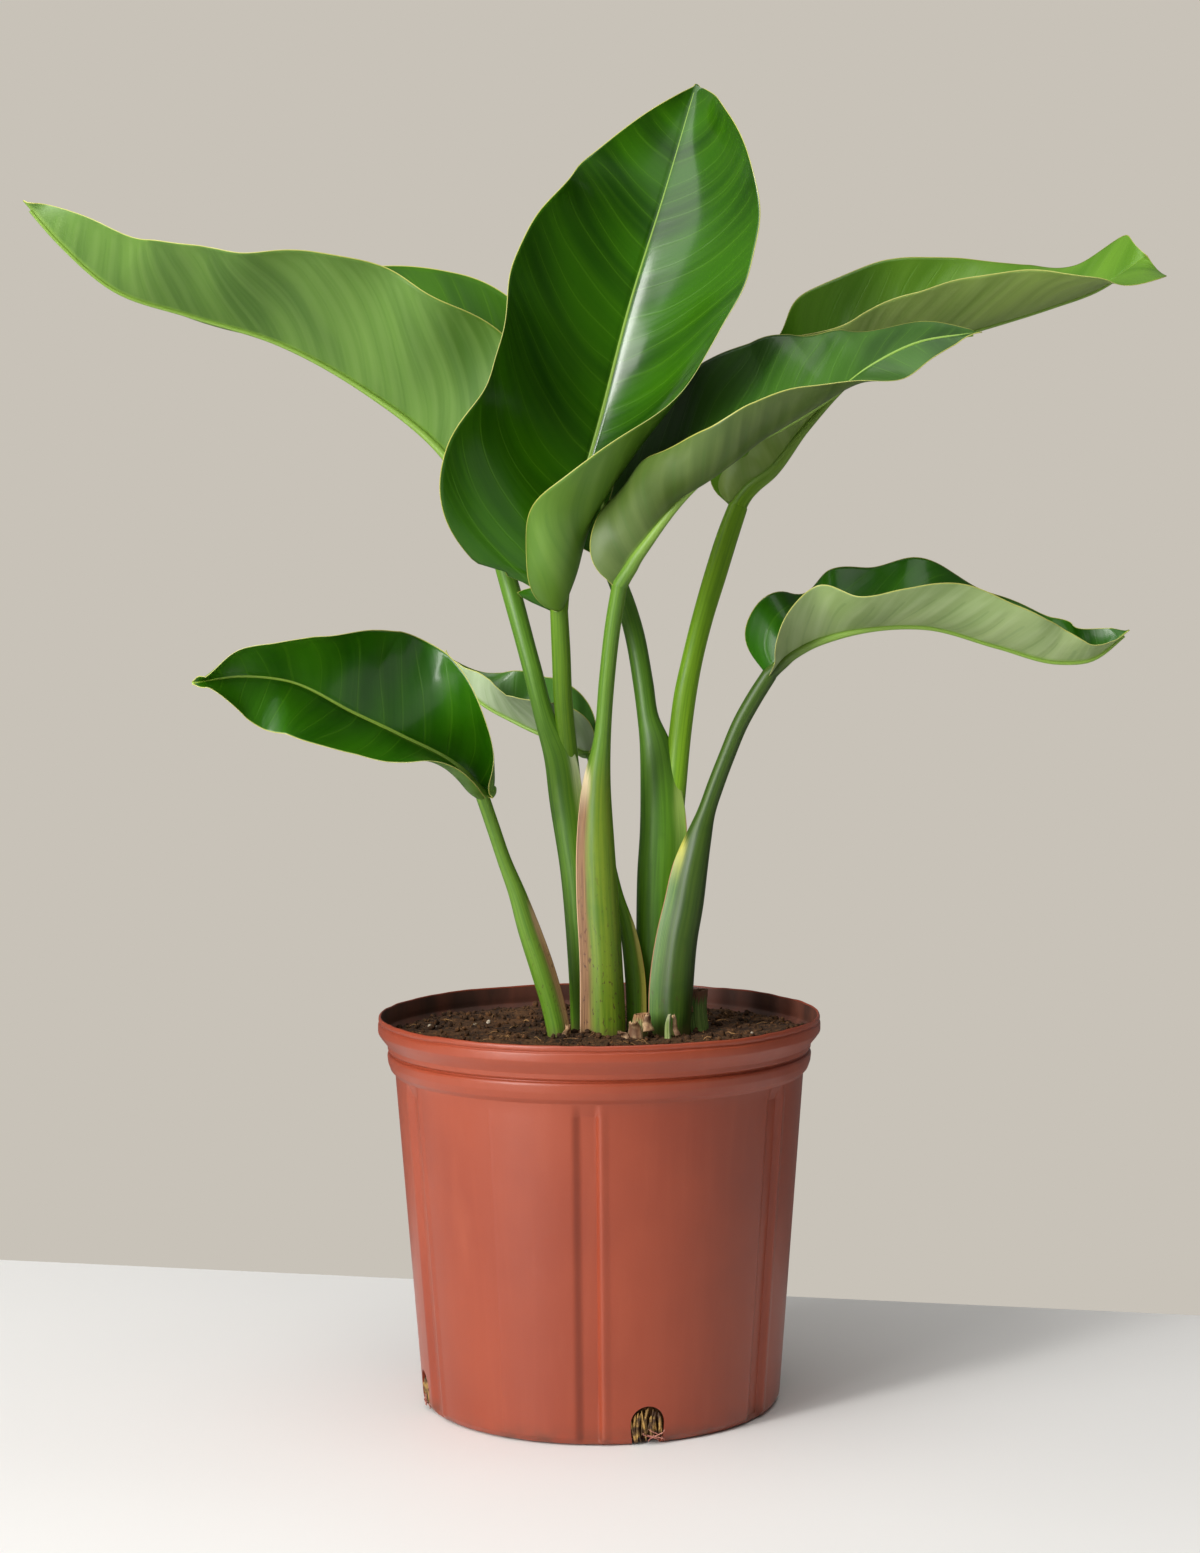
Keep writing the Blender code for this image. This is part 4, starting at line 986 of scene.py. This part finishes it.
# Each blade: its midrib from the top of its stalk to the tip in millimetres (x, y, height above
# the soil), the way its upper side faces at foot, middle and tip, the widths of the left and the
# right half in metres, and where and how these round off. At the stations, shares of the length,
# "left" and "right" give the degrees that a half is folded up at the midrib, then at its margin.
# "tears" are bites out of a margin: side, share of the length, reach and depth, and
# "horns" splits the tip into two corners.
CLOSE_AT_FOOT = [0.0, 0.07, 0.14, 0.21, 0.3, 0.4, 0.5, 0.6, 0.7, 0.8, 0.9, 1.0]
LEAVES = {
    "leaf_tall": dict(
        midrib=[(-16, -4, 305), (4, 0, 380), (21, 10, 445), (43, 30, 515), (65, 65, 590)],
        faces=[(0, -1, 0.1), (0, -1, 0.15), (0, -1, 0.2)],
        half_width=(0.095, 0.087), belly=0.3, foot=2.0, tip=(2.1, 4.4),
        stations=[0.0, 0.07, 0.14, 0.21, 0.3, 0.38, 0.46, 0.54, 0.62, 0.7, 0.8, 0.9, 1.0],
        left=([5, 5, 5, 12, 18, 18, 14, 8, 4, 2, 0, 0, 0],
              [-60, -28, 5, 37, 66, 69, 64, 54, 49, 50, 20, 36, 60]),
        right=([45, 32, 31, 30, 22, 20, 20, 20, 20, 20, 18, 25, 28],
               [230, 230, 223, 166, 126, 93, 77, 61, 55, 55, 70, 85, 63]),
        tears=[("left", 0.035, 0.012, 0.55), ("left", 0.052, 0.005, 0.3)],
    ),
    "leaf_left_high": dict(
        midrib=[(-75, 50, 333), (-95, 55, 360), (-145, 60, 400), (-200, 60, 430), (-255, 55, 447),
                (-300, 45, 462), (-331, 35, 489), (-353, 30, 515)],
        faces=[(-0.3, 0, 1), (0, 0, 1), (0, 0, 1)],
        half_width=(0.094, 0.105), belly=0.3, foot=2.0, tip=(2.7, 1.9),
        stations=evenly(11),
        left=([59, 59, 60, 45, 41, 33, 24, 26, 31, 39, 68],
              [77, 78, 77, 56, 52, 42, 31, 28, 31, 43, 85]),
        right=([61, 63, 62, 48, 27, 3, -11, -6, 8, 24, 40],
               [94, 101, 105, 103, 96, 86, 74, 66, 59, 54, 50]),
    ),
    "leaf_right_front": dict(
        midrib=[(19, -39, 287), (30, -45, 302), (54, -55, 330), (88, -65, 356), (110, -70, 367),
                (135, -75, 382), (160, -80, 401), (186, -80, 414), (225, -80, 420)],
        faces=[(-0.5, 0, 1), (0, 0, 1), (0, 0, 1)],
        half_width=(0.088, 0.055), belly=0.42, foot=2.0, tip=(2.7, 1.5),
        stations=evenly(11),
        left=([40, 40, 40, 41, 45, 41, 37, 28, 13, 12, 13],
              [51, 51, 50, 49, 51, 50, 48, 41, 29, 30, 33]),
        right=([53, 55, 10, -44, -43, -20, -15, -30, -51, -49, -27],
               [79, 140, 180, 131, 81, 55, 42, 8, -32, -45, -31]),
    ),
    "leaf_right_back": dict(
        midrib=[(96, 62, 337), (110, 65, 348), (133, 70, 376), (174, 80, 414), (210, 80, 428),
                (242, 80, 437), (292, 80, 452), (320, 80, 462), (350, 75, 482)],
        faces=[(-0.5, 0, 1), (0, 0, 1), (0, 0, 1)],
        half_width=(0.064, 0.073), belly=0.4, foot=2.0, tip=(14, 14),
        stations=evenly(11),
        left=([48, 44, 45, 52, 56, 62, 46, 35, 25, 22, 40],
              [65, 99, 138, 150, 94, 83, 70, 55, 39, 26, 39]),
        right=([64, 110, 66, 22, 10, 10, 4, -1, 2, -1, -20],
               [196, 179, 114, 58, 38, 37, 43, 39, 15, -12, -67]),
        horns=0.014,
    ),
    "leaf_right_low": dict(
        midrib=[(114, -1, 230), (127, -5, 238), (148, -10, 245), (171, -15, 249), (200, -20, 249),
                (243, -20, 237), (281, -20, 227), (298, -20, 228), (323, -20, 246)],
        faces=[(-0.7, 0, 0.7), (0, 0, 1), (0, 0, 1)],
        half_width=(0.06, 0.044), belly=0.38, foot=3.0, tip=(3.4, 2.1),
        stations=CLOSE_AT_FOOT,
        left=([50, 57, 24, 31, 26, 33, 26, 21, 20, 23, 35, 58],
              [38, 62, 41, 50, 45, 53, 50, 48, 50, 51, 57, 71]),
        right=([-1, 5, 27, 36, 12, 12, 10, 14, 27, 39, 33, 10],
               [0, 18, 51, 69, 49, 51, 81, 76, 71, 66, 37, -17]),
    ),
    "leaf_left_low": dict(
        midrib=[(-81, -40, 164), (-118, -60, 187), (-143, -70, 200), (-181, -85, 220),
                (-206, -95, 223), (-233.5, -105, 219.5)],
        faces=[(0, -1, 0.1), (0, -1, 0.1), (0, -1, 0.1)],
        half_width=(0.042, 0.057), belly=0.36, foot=2.0, tip=(3.6, 2.9),
        stations=CLOSE_AT_FOOT,
        left=([34, 37, 48, 58, 60, 51, 44, 36, 25, 5, 9, 39],
              [157, 145, 127, 115, 101, 80, 68, 58, 45, 24, 43, 107]),
        right=([-9, -15, 1, 13, 10, 3, 10, 19, 37, 45, 39, 63],
               [156, 163, 121, 84, 40, 9, 19, 38, 64, 77, 80, 126]),
        tears=[("right", 0.014, 0.009, -0.45)],
    ),
    "leaf_small": dict(
        midrib=[(-25, 50, 178), (-51, 67, 189), (-77, 75, 204), (-92, 79, 222), (-97, 79, 235)],
        faces=[(0, 0, 1), (0, 0, 1), (0, 0, 1)],
        half_width=(0.041, 0.037), belly=0.4, foot=2.0, tip=(1.4, 1.7),
        stations=evenly(11),
        left=([83, 60, 46, 41, 38, 36, 38, 45, 50, 43, 41],
              [127, 85, 56, 41, 32, 29, 35, 47, 56, 47, 42]),
        right=([56, 56, 54, 54, 55, 53, 62, 58, 44, 41, 39],
               [78, 84, 86, 80, 74, 70, 77, 69, 48, 37, 29]),
    ),
    "leaf_rear": dict(
        midrib=[(4, 80, 330), (8, 110, 380), (15, 160, 440), (20, 220, 480)],
        faces=[(0, -1, 0.3), (0, -0.6, 1), (0, -0.3, 1)],
        half_width=(0.06, 0.06), belly=0.4, foot=2.0, tip=(1.9, 1.9),
        stations=evenly(6),
        left=([30] * 6, [30] * 6),
        right=([30] * 6, [30] * 6),
    ),
}


LEAF_ROWS = 150
LEAF_COLUMNS = 61
LEAF_THICKNESS = 0.0007
KEEL_SIDES = 20
KEEL_ROWS = 90
KEEL_END = 0.0011  # half width of the keel at the tip
KEEL_TAPER = 0.20  # share of the blade over which the stalk runs out into the keel
KEEL_SINK = 0.62  # how far below the blade the keel's middle lies, as a share of its half depth
BLADE_NECK = 0.0045
BLADE_POINT = 0.0010
FLAT_WIDTH = 0.008
LEAST_BEND = 0.001
RIPPLE = 0.0010
VEIN_PITCH = 0.0150
VEIN_SLANT = 0.45  # how far a vein runs on towards the tip for each step out from the midrib
VEIN_BEND = 3.2  # how much more it does so for each metre further out


def half_outline(share, belly, foot, tip):
    """Width of one half of a blade, as a share of its widest, from foot (0) to tip (1)."""
    low = np.clip((belly - share) / belly, 0.0, 1.0)
    high = np.clip((share - belly) / (1.0 - belly), 0.0, 1.0)
    return np.where(share < belly, np.sqrt(1.0 - low**foot), 1.0 - high**tip)


def along_blade(stations, values, share):
    knots = np.array(stations)
    rows = np.array(values, dtype=float)
    rows = rows[:, None] if rows.ndim == 1 else rows
    return hermite(knots, rows, np.gradient(rows, knots, axis=0), share)


def notched(leaf, side, share, width):
    """Narrows the half where its margin is torn."""
    for torn_side, middle, reach, depth in leaf.get("tears", []):
        if torn_side == side:
            width = width * (1 - depth * np.exp(-(((share - middle) / reach) ** 2)))
    return width


def blade_sheet(name, leaf):
    """Points of the blade's middle surface, each one's place on it, and the rings of its keel."""
    stalk = stalk_rows(name.replace("leaf", "stalk"), 12)
    top_of_stalk = stalk[-2:, :3]
    heading = unit(np.diff(top_of_stalk, axis=0))[0]
    start = top_of_stalk[1] - heading * 0.0008
    spine = smooth_route(np.vstack([start, above_soil(leaf["midrib"])]), LEAF_ROWS)
    share = np.linspace(0.0, 1.0, LEAF_ROWS)
    tangents = unit(np.gradient(spine, axis=0))
    tangents[0] = heading
    facing = along_blade([0.0, 0.5, 1.0], leaf["faces"], share)
    normals = unit(facing - (facing * tangents).sum(axis=1)[:, None] * tangents)
    rightward = np.cross(tangents, normals)
    length = np.linalg.norm(np.diff(spine, axis=0), axis=1).sum()
    middle = (LEAF_COLUMNS - 1) // 2
    sheet = np.zeros((LEAF_ROWS, LEAF_COLUMNS, 3))
    place = np.zeros((LEAF_ROWS, LEAF_COLUMNS, 3))
    least = np.interp(share, [0.0, 1.0], [BLADE_NECK, BLADE_POINT])
    for index, side in enumerate(("left", "right")):
        sign = -1 if side == "left" else 1
        outline = half_outline(share, leaf["belly"], leaf["foot"], leaf["tip"][index])
        width = np.maximum(leaf["half_width"][index] * outline, least)
        width = notched(leaf, side, share, width)
        opened = np.clip(width / FLAT_WIDTH, 0.0, 1.0)
        fold, edge = (np.radians(along_blade(leaf["stations"], angles, share)[:, 0]) * opened
                      for angles in leaf[side])
        bend = edge - fold
        bend = np.where(np.abs(bend) < LEAST_BEND, LEAST_BEND, bend)
        wave = np.sin(share * length / 0.019 + 2.0 * sign + leaf["half_width"][0] * 90)
        wave += 0.6 * np.sin(share * length / 0.0075 + 1.0 + sign)
        horn = leaf.get("horns", 0.0) * np.exp(-(((share - 0.955) / 0.03) ** 2))
        for step in range(middle + 1):
            out_share = step / middle
            turn = fold + bend * out_share
            out = width * (np.sin(turn) - np.sin(fold)) / bend
            lift = width * (np.cos(fold) - np.cos(turn)) / bend
            ripple = RIPPLE * wave * out_share**3 * np.clip(width / 0.03, 0, 1)
            out = out - ripple * np.sin(turn)
            lift = lift + ripple * np.cos(turn)
            column = middle + sign * step
            sheet[:, column] = spine + sign * rightward * out[:, None] + normals * lift[:, None]
            sheet[:, column] += tangents * (horn * out_share**2)[:, None]
            place[:, column, 0] = sign * width * out_share
            place[:, column, 1] = share * length
            place[:, column, 2] = width * (1 - out_share)
    return sheet, place, keel_rings(stalk[-1, 3:], share, spine, rightward, normals)


def keel_rings(stalk_size, share, spine, rightward, normals):
    """The stalk runs on under the blade and tapers out along the midrib to the tip."""
    stalk_across, stalk_deep = stalk_size
    rings = []
    for at in np.linspace(0.0, 0.985, KEEL_ROWS) ** 1.3:
        left = math.exp(-at / KEEL_TAPER)
        half_across = KEEL_END + (stalk_across - KEEL_END) * left
        half_deep = KEEL_END + (stalk_deep - KEEL_END) * left
        sink = half_deep * KEEL_SINK * step_up(at, 0.0, 0.06)
        middle, side, up = (
            np.array([np.interp(at, share, line[:, axis]) for axis in range(3)])
            for line in (spine, rightward, normals))
        ring = []
        for step in range(KEEL_SIDES):
            turn = math.tau * step / KEEL_SIDES
            ring.append(Vector(middle + side * half_across * math.cos(turn)
                               + up * (half_deep * math.sin(turn) - sink)))
        rings.append(ring)
    return rings


def vein_lines(finish, seed):
    """How the side veins run: streaks, broad folds, and thin lines with a pillow between them."""
    across, along, inward = finish.parts(finish.attribute("blade"))
    out = abs(across)
    vein = along - out * (out * VEIN_BEND + VEIN_SLANT)
    streak = finish.cloud(finish.vector(vein * 230.0, across * 8.0, seed), 1.0, 2.0)
    broad = finish.cloud(finish.vector(vein * 26.0, across * 10.0, seed + 2.0), 1.0, 1.0)
    turns = vein * (math.tau / VEIN_PITCH) + broad * 11.0
    pitch_wave = finish.add("ShaderNodeMath", {"operation": "SINE"}, {0: turns})
    faded = finish.rise(inward, 0.001, 0.012)
    line = finish.rise(pitch_wave, 0.955, 1.0) * faded
    return across, out, along, inward, streak, broad, pitch_wave * faded, line


def upper_skin(name, look):
    """Glossy upper side: faint side veins arch from a pale midrib to a thin yellow margin."""
    finish = Finish(name, {"Specular IOR Level": look["shine"], "Coat Roughness": 0.14,
                           "Coat IOR": 1.45})
    across, out, along, inward, streak, broad, pillow, line = vein_lines(finish, 0.0)
    colour = finish.blend(finish.rise(broad, 0.3, 0.7), *look["upper"][:2])
    colour = finish.blend(finish.rise(streak, 0.45, 0.8) * 0.16, colour, look["upper"][2])
    colour = finish.blend(finish.rise(pillow, -1.0, 1.0) * 0.08, colour, look["upper"][2])
    colour = finish.blend(line * 0.12, colour, look["vein"])
    midrib = 1 - finish.rise(out + along * 0.0052, 0.0009, 0.0021)
    colour = finish.blend(midrib * 0.9, colour, look["midrib"])
    margin = 1 - finish.rise(inward, 0.0002, 0.0007)
    colour = finish.blend(margin, colour, look["margin"])
    finish.feed("Base Color", colour)
    finish.feed("Roughness", look["rough"] + streak * 0.1)
    left, right = look["coat"]
    finish.feed("Coat Weight", left + finish.rise(across, -0.004, 0.004) * (right - left))
    groove = (1 - finish.rise(out, 0.0004, 0.0040)) * -0.8
    finish.bump(pillow * 0.16 + line * -0.15 + broad * 1.2 + streak * 0.45 + groove, 0.0008, 0.6)
    return finish


def under_skin(name, look):
    """Waxy paler underside: pale bands along the side veins, each with a fine dark line."""
    finish = Finish(name, {"Specular IOR Level": 0.4, "Coat Weight": 0.05, "Coat Roughness": 0.3})
    _, out, _, inward, streak, broad, pillow, _ = vein_lines(finish, 5.0)
    colour = finish.blend(finish.rise(broad, 0.3, 0.7), *look["under"][:2])
    colour = finish.blend(finish.rise(streak, 0.4, 0.75) * 0.16, colour, look["under"][2])
    colour = finish.blend(finish.rise(pillow, 0.0, 1.0) * 0.16, colour, look["under"][2])
    colour = finish.blend((1 - finish.rise(pillow, -1.0, -0.9)) * 0.16, colour, look["upper"][1])
    midrib = 1 - finish.rise(out, 0.0006, 0.0040)
    colour = finish.blend(midrib * 0.7, colour, look["keel"])
    margin = 1 - finish.rise(inward, 0.0002, 0.0008)
    colour = finish.blend(margin, colour, look["margin"])
    finish.feed("Base Color", colour)
    finish.feed("Roughness", 0.40 + streak * 0.12)
    finish.bump(pillow * 0.28 + broad * 1.2 + streak * 0.3, 0.0007, 0.5)
    return finish


def keel_skin(name, look, fresh, old):
    """The thick midrib under the blade: stalk green, with fine lengthwise streaks."""
    finish = Finish(name, {"Specular IOR Level": 0.4})
    round_x, round_y, along = finish.parts(finish.attribute("keel"))
    streak = finish.cloud(finish.vector(round_x * 6.0, round_y * 6.0, along * 9.0), 1.0, 3.0)
    colour = finish.blend(finish.rise(streak, 0.3, 0.7), fresh, old)
    far = finish.rise(along, 0.0, 0.30)
    finish.feed("Base Color", finish.blend(far, colour, look["keel"]))
    finish.feed("Roughness", 0.36 + streak * 0.14)
    return finish


def make_leaf(name, leaf):
    look = GREENS | LEAF_LOOKS[name]
    sheet, place, keel = blade_sheet(name, leaf)
    down = np.gradient(sheet, axis=0)
    over = np.gradient(sheet, axis=1)
    normals = np.cross(over, down)
    normals /= np.maximum(np.linalg.norm(normals, axis=2), 1e-12)[:, :, None]
    out_share = np.abs(np.linspace(-1.0, 1.0, LEAF_COLUMNS))[None, :]
    thickness = LEAF_THICKNESS * (1 - 0.6 * out_share**6) * np.ones((LEAF_ROWS, 1))
    bm = bmesh.new()
    turns = [math.tau * step / KEEL_SIDES for step in range(KEEL_SIDES)]
    around = [(math.cos(turn), math.sin(turn)) for turn in turns]
    loft(bm, keel, {"keel": [[(x, y, row / (KEEL_ROWS - 1)) for x, y in around]
                             for row in range(KEEL_ROWS)]})
    for face in bm.faces:
        face.material_index = 3
    layer = bm.verts.layers.float_vector.new("blade")
    loops = []
    for material, push in ((0, 0.5 * thickness), (1, -0.5 * thickness)):
        before = set(bm.faces)
        verts = bmesh.ops.create_grid(
            bm, x_segments=LEAF_COLUMNS - 1, y_segments=LEAF_ROWS - 1, size=0.5)["verts"]
        for vertex in verts:
            column = round((vertex.co.x + 0.5) * (LEAF_COLUMNS - 1))
            row = round((vertex.co.y + 0.5) * (LEAF_ROWS - 1))
            vertex[layer] = place[row, column]
            vertex.co = sheet[row, column] + normals[row, column] * push[row, column]
        faces = [face for face in bm.faces if face not in before]
        for face in faces:
            face.material_index = material
        loops += [edge for edge in {e for face in faces for e in face.edges} if edge.is_boundary]
    rim = bmesh.ops.bridge_loops(bm, edges=loops)["faces"]
    for face in rim:
        face.material_index = 2
    bmesh.ops.recalc_face_normals(bm, faces=bm.faces)
    rim_skin = Finish(name + "_rim", {"Roughness": 0.5})
    dusty = rim_skin.cloud(rim_skin.place(), 80.0, 2.0)
    rim_skin.feed("Base Color", rim_skin.blend(dusty, look["margin"], (196, 200, 130)))
    tones = STALK_LOOKS[name.replace("leaf", "stalk")]["petiole"]
    blade = show(name.replace("leaf", "blade"), bm,
                 [upper_skin(name + "_upper", look), under_skin(name + "_under", look), rim_skin,
                  keel_skin(name + "_keel", look, *tones)])
    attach(blade, "root")
    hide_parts(name)


for leaf_name, leaf_shape in LEAVES.items():
    make_leaf(leaf_name, leaf_shape)


# ---------------------------------------------------------------- studio
# A plain pale table top that ends behind the pot, a plain warm grey surrounding, a broad soft
# window with a narrower strip beside it on the left, and a broad soft light from above.

CAMERA_BACK = 1.72
CAMERA_HEIGHT = 0.488
CAMERA_PITCH = math.radians(3.4)
CAMERA_ROLL = math.radians(0.35)
CAMERA_YAW = math.radians(0.05)
FOCAL_LENGTH = 64.907  # millimetres, on a 36 mm sensor along the tall side

GLOW = 0.22  # strength of the even light from all round
TABLE_BACK = ((-3.0, 0.93), (3.0, -0.38))  # the two ends of the table's back edge
TABLE_FRONT = -3.0


def make_table():
    bm = bmesh.new()
    corners = [(-3.0, TABLE_FRONT), (3.0, TABLE_FRONT), TABLE_BACK[1], TABLE_BACK[0]]
    square = bmesh.ops.create_grid(bm, x_segments=1, y_segments=1, size=1.0)["verts"]
    for vertex in square:
        left, front = vertex.co.x < 0, vertex.co.y < 0
        vertex.co = (*corners[{(1, 1): 0, (0, 1): 1, (0, 0): 2, (1, 0): 3}[(left, front)]], 0.0)
    finish = Finish("table_top", {"Roughness": 0.55})
    soft = finish.cloud(finish.place(), 2.0, 2.0)
    finish.feed("Base Color", finish.blend(soft, (228, 227, 225), (236, 235, 233)))
    table = show("table_top", bm, [finish])


def make_lamp(name, spot, aim, size, power, colour):
    lamp = bpy.data.lights.new(name, "AREA")
    lamp.shape = "RECTANGLE"
    lamp.size, lamp.size_y = size
    lamp.energy = power
    lamp.color = colour
    holder = bpy.data.objects.new(name, lamp)
    holder.location = spot
    holder.rotation_euler = (Vector(aim) - Vector(spot)).to_track_quat("-Z", "Y").to_euler()
    bpy.context.scene.collection.objects.link(holder)


def make_camera():
    data = bpy.data.cameras.new("camera")
    data.lens = FOCAL_LENGTH
    data.sensor_width = 36.0
    camera = bpy.data.objects.new("camera", data)
    camera.matrix_world = (
        Matrix.Translation((0.0, -CAMERA_BACK, CAMERA_HEIGHT))
        @ Matrix.Rotation(-CAMERA_YAW, 4, "Z")
        @ Matrix.Rotation(math.pi / 2 - CAMERA_PITCH, 4, "X")
        @ Matrix.Rotation(-CAMERA_ROLL, 4, "Z")
    )
    bpy.context.scene.collection.objects.link(camera)
    bpy.context.scene.camera = camera


def make_surroundings():
    world = bpy.data.worlds.new("surroundings")
    world.use_nodes = True
    tree = world.node_tree
    seen = tree.nodes["Background"]
    seen.inputs["Color"].default_value = rgb(200, 194, 184)
    glow = tree.nodes.new("ShaderNodeBackground")
    glow.inputs["Color"].default_value = rgb(214, 212, 208)
    glow.inputs["Strength"].default_value = GLOW
    rays = tree.nodes.new("ShaderNodeLightPath")
    either = tree.nodes.new("ShaderNodeMixShader")
    tree.links.new(rays.outputs["Is Camera Ray"], either.inputs[0])
    tree.links.new(glow.outputs[0], either.inputs[1])
    tree.links.new(seen.outputs[0], either.inputs[2])
    tree.links.new(either.outputs[0], tree.nodes["World Output"].inputs["Surface"])
    bpy.context.scene.world = world
    bpy.context.scene.view_settings.view_transform = "Standard"


make_table()
make_surroundings()
make_lamp("window", (-2.7, -2.5, 2.0), (0.0, 0.0, 0.42), (2.2, 2.2), 84.0, (1.0, 0.99, 0.97))
make_lamp("strip", (-1.75, -1.75, 1.6), (0.0, 0.0, 1.6), (0.35, 3.1), 66.0, (1.0, 0.99, 0.97))
make_lamp("ceiling", (-0.2, -0.4, 2.9), (0.0, 0.0, 0.3), (3.0, 3.0), 58.0, (1.0, 0.99, 0.98))
make_camera()
